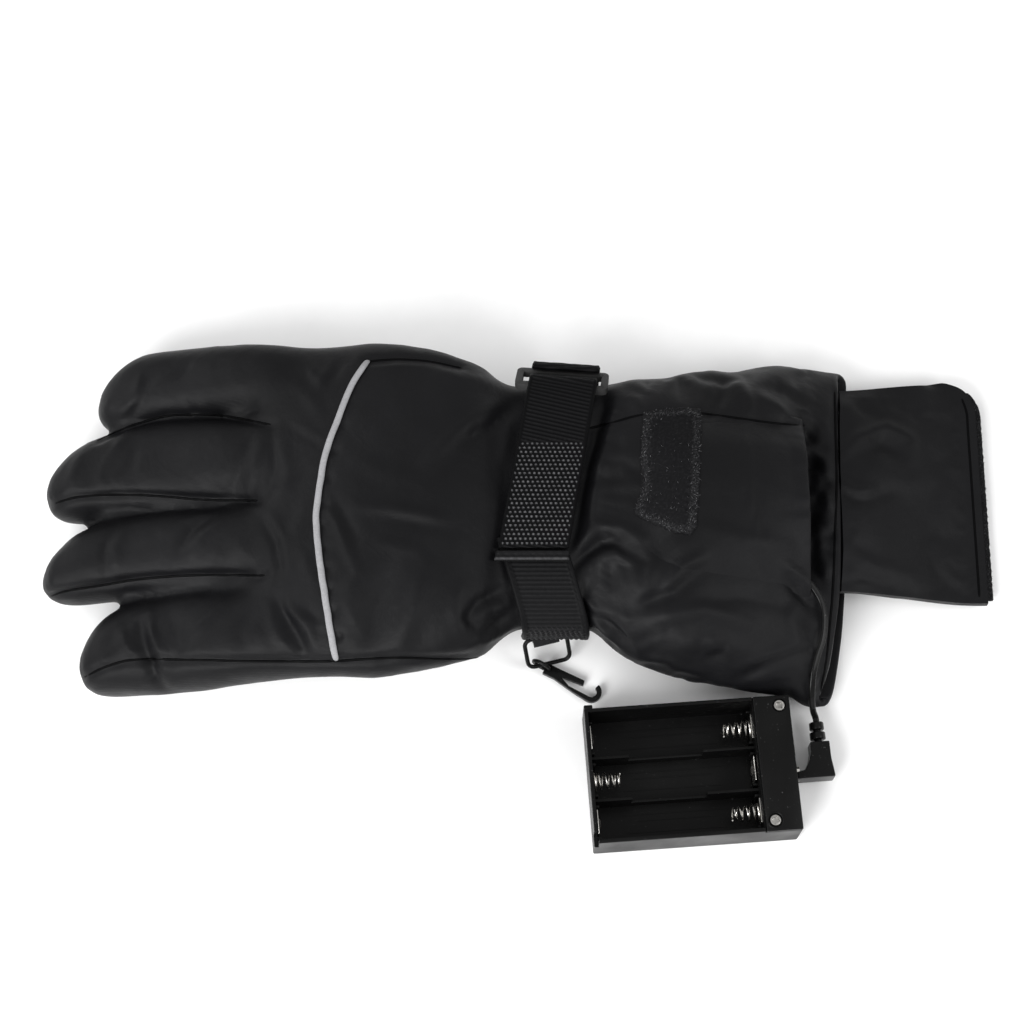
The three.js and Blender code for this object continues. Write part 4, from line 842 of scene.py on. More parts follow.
def cuffTop(x, y):
    section = cuffSection(min(max(x / cuff["length"], 0), 1))
    aside = min(abs((y - section[1]) / section[2]), 1)
    return section[3] + section[4] * (1 - aside ** section[6]) ** (1 / section[6])


rings = []
for at in np.linspace(0.0, 1, 64):
    section = cuffSection(at)
    rings.append(shapeMouth(ringRound(section, 150), section))
gauntlet = tube("gauntletCloth", rings)

cuffFolds = (
    (2.0, -2.2, (19.4, 43.7), (16.5, 32.6), (13.5, 19.4), (10.5, 4.4), (7.2, -12.1)),
    (2.6, 1.3, (23.7, 42.9), (20.7, 31.5), (17.7, 18.6), (15.4, 4.4), (13.2, -8.5)),
    (1.7, -2, (7.2, -20.5), (11.4, -15.4), (16.6, -11.3), (21.2, -10.6)),
    (2.2, 1.4, (9.4, -11.9), (16.1, -5.8), (24, -5.8), (31.5, -10.6)),
    (2.4, 1.3, (17, -26.2), (16.5, -18.3), (22, -15.4), (28, -18.6), (29.4, -26.2)),
    (1.2, -0.8, (22.1, -11.9), (26.8, -16), (31.3, -17.5)),
    (2.2, 0.9, (31.4, -11.9), (35, -17.9), (33.4, -27.1), (26.6, -33.1)),
    (2.2, 1.2, (38.1, -28), (44.6, -20.5), (52.5, -17)),
    (1.8, -1, (33.8, -33.1), (42.8, -29.3), (50.5, -23)),
    (2.2, 0.8, (17.5, -35.6), (26.5, -38.7), (38.5, -35.2)),
    (3, 1, (20.4, -43), (35.4, -38.7), (52, -35.2), (66.8, -40.2)),
    (1.6, -1.5, (11.6, -26.2), (10.1, -32.4), (11.8, -38.7)),
    (1.2, 1.3, (13.3, -38.7), (18, -43), (23.3, -50.5)),
    (1.3, -1.3, (16.3, -37.7), (21.9, -43), (26.3, -49.2)),
    (1.3, 1, (7.7, -26.2), (9.5, -30.9), (16.3, -37.1)),
    (1.5, -1.2, (81.2, -24.9), (86, -30.9), (92.4, -36.5)),
    (1.5, 0.9, (79.9, -19.8), (86.9, -25.5), (93.5, -30.9)),
    (2.4, 0.7, (86.6, -30.9), (81.8, -38.7), (84.1, -48)),
    (1.1, -0.9, (62.3, -61.2), (72.2, -56), (82.8, -51.4), (92.8, -48.3)),
    (1.8, 0.7, (61.8, -57.2), (72.4, -52.3), (85.9, -48)),
    (3, 0.7, (39.7, -48), (53.2, -46.4), (67.9, -51.1)),
    (1.6, 0.6, (85.6, -57.2), (89.7, -63.4)),
    (2, 1, (43.8, 49.8), (54.4, 52.5), (65.2, 49.8)),
    (2.4, -1.3, (62, 47.8), (58.1, 40.1), (55.5, 35.8)),
    (2, 0.9, (67, 47.8), (70.4, 40.1), (69.3, 33.5)),
    (2.4, 1, (72.1, 43.8), (80.2, 38.5), (87.4, 32.5)),
    (1.8, -0.7, (75.9, 46.8), (83.6, 45.1), (89, 40.1)),
    (2, 0.7, (26.3, 43.8), (30.3, 41.5), (32, 36.8)),
    (2, 0.7, (20.1, 45.1), (29.5, 47.8), (40.3, 49.1)),
    (2, -0.8, (19.7, 40.1), (26.2, 38.5)),
    (1.6, 0.5, (89.6, 40.1), (91.6, 33.5)),
    (0.7, 0.35, (67.4, 32.5), (68.6, 23.6), (69, 15.1)),
    (0.8, 0.5, (68.6, 13.8), (69.7, 0.9), (72.5, -13.8)),
    (1.4, -0.3, (71.1, 13.8), (72.1, -0.7), (75.3, -13.5)),
    (3.2, 0.6, (54.3, -7.1), (66.2, -11.9), (81.3, -13.5)),
    (2, 0.7, (15.2, 23.6), (13.5, 10.6), (13.4, -2.3)),
    (2.2, -0.6, (50.6, -32.4), (65.6, -30.9), (80.5, -34)),
    (2, 0.6, (29.2, -52.6), (41, -55.7), (55.7, -61.8)),
)
flapFolds = (
    (2.2, 0.9, (102, 20.7), (108.5, 28.2), (118.5, 31.9), (126.9, 27.6), (127.3, 18.7)),
    (2.2, -0.7, (108.7, 20.7), (116.6, 25.3), (124.1, 21.7)),
    (1.6, 0.7, (101, 12.5), (105.9, 7.4), (112.7, 8.3)),
    (2, -0.6, (100.4, 8), (109.4, 3.8), (118.7, 7.4)),
    (4, 0.6, (116.1, 15.5), (125, 10.6), (134.3, 13.8)),
    (2.4, 0.5, (101.7, 35.2), (108.2, 41.8), (117.6, 43.5)),
    (2.4, 0.5, (99.5, -11.9), (111.2, -19.8), (123.1, -23)),
    (1.4, -0.4, (98.9, -26.2), (108, -24.3), (119.8, -27.7)),
    (5, 0.5, (134.1, 35.2), (140.6, 15.5), (137.8, -3.9)),
)
cuffSeams = (
    ((12.2, 31), (21.5, 33.5), (32.3, 36.5), (52.4, 37.1), (66.2, 35.2), (80, 33.2), (89.6, 32.5)),
    ((100.9, 45.5), (100.5, 29.4), (100, 10.6), (98.5, -8.7), (97.1, -26.2), (95.6, -38.7), (93.4, -54.2), (89.7, -71)),
)


def grid(name, across, lengthwise, place):
    points = [place(i / lengthwise, j / across) for i in range(lengthwise + 1) for j in range(across + 1)]
    wide = across + 1
    faces = [(i * wide + j, i * wide + j + 1, (i + 1) * wide + j + 1, (i + 1) * wide + j)
             for i in range(lengthwise) for j in range(across)]
    obj = meshOf(name, points, faces)
    if sum(face.normal.z for face in obj.data.polygons) < 0:
        obj.data.flip_normals()
    return obj


points = pointsOf(gauntlet)
pinned = np.maximum(smoothly(-points[:, 2], -8, -4), 1 - smoothly(points[:, 0], 13, 20))
pinned = np.maximum(pinned, smoothly(points[:, 0], 92, 95))
puff(gauntlet, pinned, 2.4, pressure=5.0, spare=0.025, bend=2.0)
points, normals = pointsOf(gauntlet), normalsOf(gauntlet)
places = seen(points)
upper = smoothly(normals[:, 2], -0.1, 0.35)
grooves = groove(places, cuffSeams[:1], 1.0, 0.7) + groove(places, cuffSeams[1:], 0.9, 0.9)
height = upper * (1.6 * foldsAt(places, cuffFolds) + grooves)
height += swell(points, 24, 0.8) + swell(points, 8, 0.15, 3)
angle = np.arctan2(points[:, 2] - 22, points[:, 1])
near = np.exp(-(((points[:, 0] - 18) / 6) ** 2))
height += 0.6 * near * np.cos(11 * angle + 2.2 * np.sin(2 * angle) + 1.4 * np.sin(5 * angle))
moved = points + normals * height[:, None]
moved[:, 2] = np.maximum(moved[:, 2], 0.15)
movePoints(gauntlet, moved)
cuffTree = BVHTree.FromPolygons([v.co for v in gauntlet.data.vertices], [p.vertices for p in gauntlet.data.polygons])

# The pocket's mouth: the lining falls away under the lip and is wrinkled
inMouth = np.exp(-((np.abs(places[:, 1] - pocket["openAt"]) / pocket["openHalf"]) ** 6)) * upper
sunk = inMouth * smoothly(points[:, 0], 80, 86) * (1 - smoothly(points[:, 0], 89.5, 98))
lining = inMouth * smoothly(points[:, 0], 85.5, 88) * (1 - smoothly(points[:, 0], 96.5, 98.5))
lower = pocket["openDeep"] * sunk - lining * (swell(points, 7, 4.2, 5) + swell(points, 3.6, 1.7, 8) - 0.5)
moved[:, 2] -= lower
movePoints(gauntlet, moved)


# The pocket's cloth lies on the puffed cuff and rises from it towards its mouth
def pocketPoint(u, v):
    x = pocket["start"] + u * pocket["length"]
    aside = 2 * v - 1
    y = pocket["side"] + aside * pocket["width"] * (0.9 + 0.1 * u) / 2
    hit = cuffTree.ray_cast(metres(x, y, 90), Vector((0, 0, -1)))[0]
    under = hit[2] * 1000 if hit else cuffTop(x, y)
    mouth = float(smoothly(u, 0.9, 1.0)) * 1.2 * (1 - aside**4)
    full = float(smoothly(u, 0.0, 0.9)) * (1 - aside**2) ** 1.7
    edgeSink = 2.4 * float(smoothly(abs(aside), 0.55, 1)) + 2.4 * float(1 - smoothly(u, 0, 0.35))
    return (x, y, under + pocket["gap"] * full + pocket["wall"] * 0.8 - edgeSink + mouth)


panel = grid("pocketCloth", 68, 66, pocketPoint)
for obj, wall in ((gauntlet, cuff["wall"]), (panel, pocket["wall"])):
    modify(obj, "SOLIDIFY", thickness=wall / 1000, offset=-1, use_rim=True)
    modify(obj, "SUBSURF", levels=1, render_levels=1)
print("cuff and pocket made", len(gauntlet.data.polygons), len(panel.data.polygons))


def flapPoint(u, v):
    reach = 0.35 + u * (flap["length"] - 0.35)
    hem = cuffSection(1)
    y = flap["side"] + (v - 0.5) * flap["width"] + flap["flare"] * v**2 * u
    aside = (y - hem[1]) / hem[2]
    share = reach / flap["length"]
    fall = flap["drop"] * float(smoothly(share, -0.1, 0.95))
    curl = flap["corner"] * (1 - math.sqrt(1 - max((v - 0.86) / 0.14, 0) ** 2)) * float(smoothly(share, 0.55, 1))
    x = cuff["length"] - float(mouthBow(aside)) * (1 - float(smoothly(share, 0, 0.5))) + reach - curl
    wave = 0.0
    for a, b, size, height in flap["waves"]:
        wave += height * flap["thick"] * math.exp(-(((share - a) / size) ** 2) - ((v - b) / size) ** 2)
    bend = 1 - (1 - min(abs(aside), 0.98) ** hem[6]) ** (1 / hem[6])
    sag = hem[4] * bend * (1 - float(smoothly(share, 0, 0.7)))
    rise = max(hem[3] + hem[4] - 3.4 - fall - sag, flap["endRise"]) + wave + flap["thick"]
    return (x, y, rise)


flapCloth = grid("flapCloth", 50, 36, flapPoint)
points = pointsOf(flapCloth)
share = (points[:, 0] - 100) / flap["length"]
across = np.abs(points[:, 1] - flap["side"]) / (flap["width"] / 2)
pinned = np.maximum.reduce([1 - smoothly(share, 0.02, 0.06), smoothly(across, 0.94, 0.97), smoothly(share, 0.86, 0.9)])
puff(flapCloth, pinned, 1.1, pressure=1.5, spare=0.008, bend=3.0)
points, normals = pointsOf(flapCloth), normalsOf(flapCloth)
height = 1.8 * foldsAt(seen(points), flapFolds) + swell(points, 20, 0.4)
movePoints(flapCloth, points + normals * height[:, None])
modify(flapCloth, "SOLIDIFY", thickness=flap["thick"] / 1000, offset=-1, use_rim=True)
modify(flapCloth, "BEVEL", width=0.001, segments=2, limit_method="ANGLE", angle_limit=math.radians(50))
modify(flapCloth, "SUBSURF", levels=1, render_levels=1)
print("flap made", len(flapCloth.data.polygons))

# The hand is opened at the wrist and gets its wall
edit(handCloth, "VERT")
pick(handCloth, lambda co, part: co.x * 1000 - wristAt[0] > -1.2 and part.normal.x > 0.6, "verts")
bpy.ops.mesh.delete(type="VERT")
objectMode()
modify(handCloth, "SOLIDIFY", thickness=hand["wall"] / 1000, offset=-1, use_rim=True)
modify(handCloth, "SUBSURF", levels=1, render_levels=1)
print("hand made", len(handCloth.data.polygons))

# handCloth has no thumb under the palm: the solids have one
handNodes = ("hand_shell", "finger_index", "finger_middle", "finger_ring", "finger_little", "thumb")
for obj, fill, names in (
    (handCloth, 0.6, handNodes), (gauntlet, 0.5, ("gauntlet",)), (panel, 0.3, ("pocket_panel",)),
    (flapCloth, 0.3, ("pocket_flap",)),
):
    settle(obj, 0)
    finished(smoothShaded(obj), "nylon", nylon, *names)


# Wrist strap
strap = {
    "width": 24, "thick": 1.9, "off": 1, "middle": -3.2, "skew": 0.17, "anchorMiddle": -12.6, "anchorSkew": -0.3,
    "barAngle": 44, "bar": 2.4, "reach": 10.6, "slope": 34, "turn": 7, "gap": 0.35,
    "rib": 1.4, "dotRow": 1.55, "dotPitch": 1.66, "relief": 0.34, "edge": 1.1,
}
lowerRun = strap["off"] + strap["thick"] / 2
upperRun = lowerRun + strap["thick"] + strap["gap"]
barGap = strap["bar"] * 0.8 + strap["gap"] + strap["thick"] / 2


def wristPoint(angle, off):
    x, side, half, rise, above, below, square = handSection(0, -off)
    c, s = math.cos(math.radians(angle)), math.sin(math.radians(angle))
    return np.array((
        side + half * math.copysign(abs(c) ** (2 / square), c),
        rise + (above if s > 0 else below) * math.copysign(abs(s) ** (2 / square), s),
    ))


def wristPath(start, end, off, steps):
    return [wristPoint(start + (end - start) * i / steps, off) for i in range(steps + 1)]


def circlePath(centre, radius, start, end, steps):
    turns = [math.radians(start + (end - start) * i / steps) for i in range(steps + 1)]
    return [centre + radius * np.array((math.cos(t), math.sin(t))) for t in turns]


slope = math.radians(-strap["slope"])
downSlope = np.array((math.cos(slope), math.sin(slope)))
barMiddle = wristPoint(strap["barAngle"], lowerRun + barGap)


def barAt(share, reach):
    return barMiddle + downSlope * (reach - share * strap["width"] * math.tan(math.radians(strap["turn"])))


def evenly(path, spacing):
    path = np.array(path)
    run = runOf(path)
    at = np.linspace(0, run[-1], max(int(run[-1] / spacing), 4))
    return np.stack([np.interp(at, run, path[:, 0]), np.interp(at, run, path[:, 1])], axis=1), run[-1]


# A woven band: path of (y, z) for each share of its width, height(along, across) of its weave in mm
def bandPiece(name, pathAt, width, middle, skew, weave, spacing, thick):
    columns = int(width / spacing) + 1
    count = len(evenly(pathAt(0), spacing)[0])
    upper, lower, toneAndHighlight = [], [], []
    for j in range(columns):
        share = j / (columns - 1) - 0.5
        path, length = evenly(pathAt(share), spacing)
        at = np.linspace(0, 1, count)
        path = np.stack([np.interp(at, np.linspace(0, 1, len(path)), path[:, k]) for k in (0, 1)], axis=1)
        for turn in range(3):  # soften the corners
            path[1:-1] = (path[:-2] + 2 * path[1:-1] + path[2:]) / 4
        way = np.gradient(path, axis=0)
        way /= np.hypot(way[:, 0], way[:, 1])[:, None]
        normal = np.stack([way[:, 1], -way[:, 0]], axis=1)
        x = middle + share * width + skew * path[:, 0]
        overEdge = max(abs(share) * width - (width / 2 - thick * 0.4), 0)
        roundOff = thick * 0.5 * (1 - math.sqrt(max(1 - overEdge**2 / (thick * 0.4) ** 2, 0)))
        # The weave gives each point's height and its paleness, which on the strap holds painted highlights
        height, bandToneAndHighlight = weave(at * length, share * width, length)
        over = thick / 2 - roundOff + height
        under = thick / 2 - roundOff + 0.4 * height
        upper.append(np.stack([x, path[:, 0] + normal[:, 0] * over, path[:, 1] + normal[:, 1] * over], axis=1))
        lower.append(np.stack([x, path[:, 0] - normal[:, 0] * under, path[:, 1] - normal[:, 1] * under], axis=1))
        toneAndHighlight.append(bandToneAndHighlight)
    points = np.concatenate(upper + lower)
    faces = []
    half = columns * count
    for j in range(columns - 1):
        for i in range(count - 1):
            a = j * count + i
            faces.append((a, a + 1, a + count + 1, a + count))
            faces.append((half + a, half + a + count, half + a + count + 1, half + a + 1))
    for i in range(count - 1):  # the two long edges
        a, b = i, (columns - 1) * count + i
        faces += [(a, half + a, half + a + 1, a + 1), (b, b + 1, half + b + 1, half + b)]
    for j in range(columns - 1):  # the two ends
        a, b = j * count, j * count + count - 1
        faces += [(a, a + count, half + a + count, half + a), (b, half + b, half + b + count, b + count)]
    obj = meshOf(name, points, faces)
    outward(obj)
    smoothShaded(obj)
    toneAndHighlightOn(obj, np.concatenate(toneAndHighlight + [w * 0 for w in toneAndHighlight]))
    return obj


def ribs(at, across, length):
    height = strap["relief"] * 0.5 * (np.cos(2 * math.pi * at / strap["rib"]) - 1)
    selvedge = smoothly(abs(across), strap["width"] / 2 - strap["edge"] - 0.5, strap["width"] / 2 - strap["edge"])
    crest = 0.5 + 0.5 * np.cos(2 * math.pi * at / strap["rib"])
    # The second value paints highlights on the rib crests
    return height * (1 - selvedge), 0.06 * (1 - selvedge) * crest**3


def upperWeave(at, across, length):
    back = length - at  # from the sewn end
    dotted = (1 - smoothly(back, 36, 39)) * smoothly(back, 0.5, 1.5)
    ribHeight, ribHighlight = ribs(at, across, length)
    row = np.round(back / strap["dotRow"])
    shift = (row % 2) * strap["dotPitch"] / 2
    dx = (across + shift + strap["dotPitch"] / 2) % strap["dotPitch"] - strap["dotPitch"] / 2
    dy = back - row * strap["dotRow"]
    dot = np.exp(-((dx / 0.46) ** 2) - (dy / 0.36) ** 2)
    selvedge = smoothly(abs(across), strap["width"] / 2 - 1.3, strap["width"] / 2 - 0.9)
    dotHeight = (strap["relief"] * 1.5 * dot - strap["relief"]) * (1 - selvedge)
    height = ribHeight * (1 - dotted) + dotHeight * dotted
    # The raised hook dots and the rib crests are painted paler as highlights
    return height, ribHighlight * (1 - dotted) + dotted * smoothly(dot, 0.3, 0.75) * (1 - selvedge)


def lowerWeave(at, across, length):
    inside = 1 - smoothly(abs(across), strap["width"] / 2 - 3.0, strap["width"] / 2 - 2.6)
    gathered = smoothly(at, 29, 34)
    cross = 0.3 * 0.5 * (np.cos(2 * math.pi * at / 1.5) - 1)
    pleat = 0.2 * math.sin(2 * math.pi * across / 1.7) + 0.12 * np.sin(at * 4.1 + across * 3)
    height = inside * (cross * (1 - gathered) + pleat * gathered) + 0.3 * (1 - inside)
    stitches = (1 - inside) * (np.abs(abs(across) - 9.7) < 0.25) * (at % 2.4 < 1.5)
    crest = 0.5 + 0.5 * np.cos(2 * math.pi * at / 1.5)
    loose = gathered * inside * (np.sin(at * 9.7 + across * 7.3) > 0.93)  # pale ends of thread
    # Painted highlight on the crests of the cross ribs; the loose thread ends are pale thread
    return height - 0.25 * stitches, 0.03 + 0.05 * inside * crest**2 + 0.35 * loose


# Up under the ring's bar, round it, and back over the wrist
def overRun(share):
    drop = 2 * barGap - (upperRun - lowerRun)
    first, last = strap["barAngle"] + 10, 110
    over = []
    for i in range(25):
        off = upperRun + 0.3 + drop * (1 - float(smoothly(i / 24, -0.25, 0.5)))
        over.append(wristPoint(first + (last - first) * i / 24, off))
    return [
        *wristPath(104, strap["barAngle"] + 6, lowerRun, 16),
        *circlePath(barAt(share, 0), barGap, -118 - strap["slope"] / 4, 66 - strap["slope"] / 4, 16),
        *over,
    ]


def anchorPath(share):
    return wristPath(106, 196, lowerRun, 60)


def ringTabPath(share):
    bar = barAt(share, strap["reach"] - strap["bar"])
    return [*wristPath(-8, 8, lowerRun, 8), *circlePath(bar, barGap, -110, 80, 16)]


def tabPath(share):
    return wristPath(111.4, 115.6, upperRun + 0.6, 8)


def tabWeave(at, across, length):
    lip = np.exp(-(((at - length + 0.5) / 0.3) ** 2))
    seam = np.exp(-(((at - length * 0.45) / 0.25) ** 2))
    # The rolled lip at the tab's end is painted paler as a highlight
    return 0.12 * np.sin(across * 2.1) * np.sin(at * 2.3) - 0.35 * seam + 0.1 * lip, 0.55 * lip + 0.05


upperPlace = (strap["middle"], strap["skew"])
lowerPlace = (strap["anchorMiddle"], strap["anchorSkew"])
for name, pathAt, width, (middle, skew), weave, spacing, thick, replaced in (
    ("strapPiece", overRun, strap["width"], upperPlace, upperWeave, 0.32, strap["thick"], "strap_webbing"),
    ("anchorPiece", anchorPath, strap["width"] - 1, lowerPlace, lowerWeave, 0.34, strap["thick"], "strap_anchor"),
    ("ringTabPiece", ringTabPath, strap["width"], upperPlace, ribs, 0.5, strap["thick"], "ring_tab"),
    ("strapTabPiece", tabPath, strap["width"] + 1.2, upperPlace, tabWeave, 0.3, strap["thick"] * 1.5, "strap_tab"),
):
    band = bandPiece(name, pathAt, width, middle, skew, weave, spacing, thick)
    finished(band, "webbing", webbing, replaced)
print("strap made")

# Rectangular ring of the strap
nothing()
bpy.ops.mesh.primitive_plane_add(size=1, location=(0, 0, 0))
ringPiece = bpy.context.object
ringPiece.name = "strapRingPiece"
ringPiece.scale = ((strap["width"] + 3.4 + 2 * strap["bar"]) / 1000, strap["reach"] / 1000, 1)
settle(ringPiece, 0)
edit(ringPiece, "VERT")
bpy.ops.mesh.select_all(action="SELECT")
bpy.ops.mesh.bevel(offset=strap["bar"] * 0.0008, segments=5, affect="VERTICES")
bpy.ops.mesh.select_mode(type="FACE")
bpy.ops.mesh.select_all(action="SELECT")
bpy.ops.mesh.inset(thickness=strap["bar"] / 1000)
bpy.ops.mesh.delete(type="FACE")
objectMode()
modify(ringPiece, "SOLIDIFY", thickness=strap["bar"] / 1000, offset=0)
modify(ringPiece, "BEVEL", width=0.0007, segments=3, limit_method="ANGLE", angle_limit=math.radians(50))
ringMiddle = barAt(0, (strap["reach"] - strap["bar"]) / 2)
ringPiece.matrix_world = (
    Matrix.Translation(metres(strap["middle"] + strap["skew"] * barMiddle[0], ringMiddle[0], ringMiddle[1]))
    @ Matrix.Rotation(slope, 4, "X") @ Matrix.Rotation(math.radians(-strap["turn"]), 4, "Z")
)
settle(ringPiece, 40)
outward(ringPiece)
finished(ringPiece, "grey_plastic", greyPlastic, "strap_ring")
print("ring made")


# What is laid on the cloth: piping, seams, loop patch, hook strip
def surfaceOf(*objects):
    trees = []
    for obj in objects:
        trees.append(BVHTree.FromPolygons([v.co for v in obj.data.vertices], [p.vertices for p in obj.data.polygons]))
    return trees


# The point of the cloth that is seen at a place of the chart, and the cloth's normal there
def onCloth(trees, place):
    start = metres(*eye)
    way = (metres(place[0], place[1], view["look"][2]) - start).normalized()
    best = None
    for tree in trees:
        hit = tree.ray_cast(start, way)
        if hit[0] is not None and (best is None or hit[3] < best[3]):
            best = hit
    return (None, None) if best is None else (best[0], best[1])


def lineOn(trees, line, spacing):
    line = np.array(line, float)
    run = runOf(line)
    rows = [(run[i], *line[i]) for i in range(len(line))]
    at = np.linspace(0, run[-1], int(run[-1] / spacing) + 2)
    places = np.stack([along(rows, 1, at), along(rows, 2, at)], axis=1)
    found = [onCloth(trees, place) for place in places]
    found = [hit for hit in found if hit[0] is not None]
    points = np.array([hit[0] for hit in found])
    normals = np.array([hit[1] for hit in found])
    for turn in range(3):
        points[1:-1] = (points[:-2] + 2 * points[1:-1] + points[2:]) / 4
        normals[1:-1] = (normals[:-2] + 2 * normals[1:-1] + normals[2:]) / 4
    return points, normals


# A flat cord sewn along a line: section rows are (across, up) in mm
def sewnCord(name, points, normals, section):
    rings = []
    last = len(points) - 1
    for k, centre in enumerate(points):
        way = points[min(k + 1, last)] - points[max(k - 1, 0)]
        way /= np.linalg.norm(way)
        up = normals[k] - way * (normals[k] @ way)
        up /= np.linalg.norm(up)
        side = np.cross(way, up)
        end = math.sqrt(max(1 - (abs(2 * k / last - 1)) ** 40, 0.0))
        ring = [centre * 1000 + side * a * (0.5 + 0.5 * end) + up * b * (0.4 + 0.6 * end) for a, b in section]
        rings.append(fromFrame(ring))
    return smoothShaded(tube(name, rings, True, True))


def roundSection(width, height, aside, up, sides):
    turns = np.linspace(0, 2 * math.pi, sides + 1)[:-1]
    return [(width * math.cos(t) + aside, up + height * math.sin(t)) for t in turns]


cloths = surfaceOf(handCloth)
points, normals = lineOn(cloths, pipingLine, 0.7)
pipingPiece = sewnCord("pipingPiece", points, normals, roundSection(1.15, 0.72, 0.1, 0.62, 14))
toneAndHighlightOn(pipingPiece, np.full(len(pipingPiece.data.vertices), 0.9))
finished(pipingPiece, "reflective", reflective, "piping")


# The seam inside the flap's end, as a line of the chart
def flapSeamAt(v):
    x, y, z = flapPoint(1.0, v)
    return seen(np.array([(x - 3.0, y, z)]))[0]


# Seam threads in the grooves, coloured darker and duller than the cloth: painted shade of the seam grooves
seamParts = []
cuffTrees = surfaceOf(gauntlet, panel, flapCloth)
flapSeam = [tuple(flapSeamAt(v)) for v in np.linspace(0.03, 0.93, 16)]
for trees, lines in ((cloths, handSeams), (cuffTrees, (*cuffSeams, flapSeam))):
    for line in lines:
        points, normals = lineOn(trees, line, 0.8)
        seamParts.append(sewnCord("seam", points, normals, roundSection(0.42, 0.16, 0, 0.06, 6)))
seams = join(seamParts, "seamThreads")
finished(seams, "nylon", nylonFinish("seamShadeThread", 0.25, 0.04))
print("piping and seams sewn")

patch = {
    "thick": 0.8, "spacing": 0.42,
    # outline as seen, from the far left corner round
    "outline": (
        (32.5, 37.5), (38.6, 38.3), (45.7, 39.1), (52.8, 38.7), (53.3, 32.6), (52.4, 23.1), (52.1, 11.9),
        (51.1, 0.7), (50.6, -5.2), (48.4, -8.5), (42.8, -7.7), (36.9, -5.2), (32.4, -3), (29, -1.1), (28.7, 1.5),
        (30.9, 6.3), (32, 11.9), (31.1, 18.6), (31.6, 26.9),
    ),
}


def inOutline(places, outline):
    outline = np.array(outline)
    inside = np.zeros(len(places), bool)
    away = np.full(len(places), 1e9)
    for k in range(len(outline)):
        a, b = outline[k], outline[(k + 1) % len(outline)]
        crosses = (a[1] > places[:, 1]) != (b[1] > places[:, 1])
        inside ^= crosses & (places[:, 0] < (b[0] - a[0]) * (places[:, 1] - a[1]) / (b[1] - a[1] + 1e-12) + a[0])
        d = b - a
        t = np.clip(((places - a) @ d) / (d @ d), 0, 1)
        away = np.minimum(away, np.hypot(*(places - a - t[:, None] * d).T))
    return np.where(inside, away, -away)


def cloud(p, size, seed=0.0):
    return noise.noise(Vector((p[0] / size, p[1] / size, seed)))


outline = np.array(patch["outline"])
low, high = outline.min(axis=0) - 1, outline.max(axis=0) + 1
xs, ys = [np.arange(low[k], high[k], patch["spacing"]) for k in (0, 1)]
spots, index = [], {}
for i, x in enumerate(xs):
    for j, y in enumerate(ys):
        inside = inOutline(np.array([(x, y)]), outline)[0]
        if inside > -0.25 + 0.2 * cloud((x, y), 1.5):
            hit, normal = onCloth(cuffTrees, (x, y))
            if hit is not None:
                index[i, j] = len(spots)
                spots.append((hit, normal, inside, x, y))
points, toneAndHighlight = [], []
for hit, normal, inside, x, y in spots:
    border = math.exp(-(((inside - 1.8) / 1.5) ** 2))
    tuft = 0.16 * cloud((x, y), 0.55, 5) + 0.2 * border * cloud((x, y), 0.4, 9)
    full = patch["thick"] * min(max(inside + 0.25, 0) / 2.2, 1) ** 0.7
    stitched = math.exp(-(((inside - 3.6 - 0.6 * math.sin(x * 2 + y * 2)) / 0.35) ** 2))
    p = hit * 1000 + normal * (full * 0.9 + tuft - 0.35 * stitched + 0.15)
    points.append(fromFrame(p))
    toneAndHighlight.append(0.01 + 0.16 * border * max(cloud((x, y), 0.5, 2) + 0.1, 0) + 0.03 * max(cloud((x, y), 0.7, 4), 0))
faces = [(index[i, j], index[i + 1, j], index[i + 1, j + 1], index[i, j + 1])
         for i, j in index if (i + 1, j) in index and (i + 1, j + 1) in index and (i, j + 1) in index]
patchPiece = meshOf("patchPiece", points, faces)
if sum(face.normal.z for face in patchPiece.data.polygons) < 0:
    patchPiece.data.flip_normals()
toneAndHighlightOn(patchPiece, toneAndHighlight)
modify(patchPiece, "SOLIDIFY", thickness=0.0011, offset=-1)
smoothShaded(patchPiece)


# Loose fibres of a fuzzy piece: thin bent blades on given points
def fibres(name, roots, reach, tone, seed):
    picker = np.random.default_rng(seed)
    points, faces, values = [], [], []
    for root, normal in roots:
        turn = picker.uniform(0, 2 * math.pi)
        level = np.array((math.cos(turn), math.sin(turn), 0.0))
        level -= normal * (level @ normal)
        beside = np.cross(normal, level) * 0.045
        long = reach * picker.uniform(0.5, 1.3)
        lean = picker.uniform(0.5, 1.4)
        base = len(points)
        for t in (0, 0.35, 0.7, 1.0):
            centre = root + normal * (long * 0.6 * math.sin(t * math.pi * 0.62) - 0.06) + level * long * lean * t
            points += [centre - beside * (1.05 - t), centre + beside * (1.05 - t) + normal * 0.03]
        for k in range(3):
            a = base + 2 * k
            faces.append((a, a + 1, a + 3, a + 2))
        values += [tone * picker.uniform(0.2, 1.0) ** 2] * 8
    obj = meshOf(name, points, faces)
    toneAndHighlightOn(obj, values)
    return obj


picker = np.random.default_rng(4)
roots = []
for k in picker.permutation(len(spots))[:2600]:
    hit, normal, inside, x, y = spots[k]
    if inside > 0.1 and picker.random() < 0.05 + 0.95 * math.exp(-(((inside - 1.6) / 1.5) ** 2)):
        roots.append((fromFrame(hit * 1000 + normal * (patch["thick"] * 0.9)), np.array(normal)))
patchFuzz = fibres("patchFuzz", roots, 0.75, 1.0, 11)
patchPiece = join([patchPiece, patchFuzz], "patchPiece")
finished(patchPiece, "loop_pile", pile, "loop_patch")
print("patch made", len(roots))

strip = {"length": 12, "thick": 1.6, "proud": 2.6}


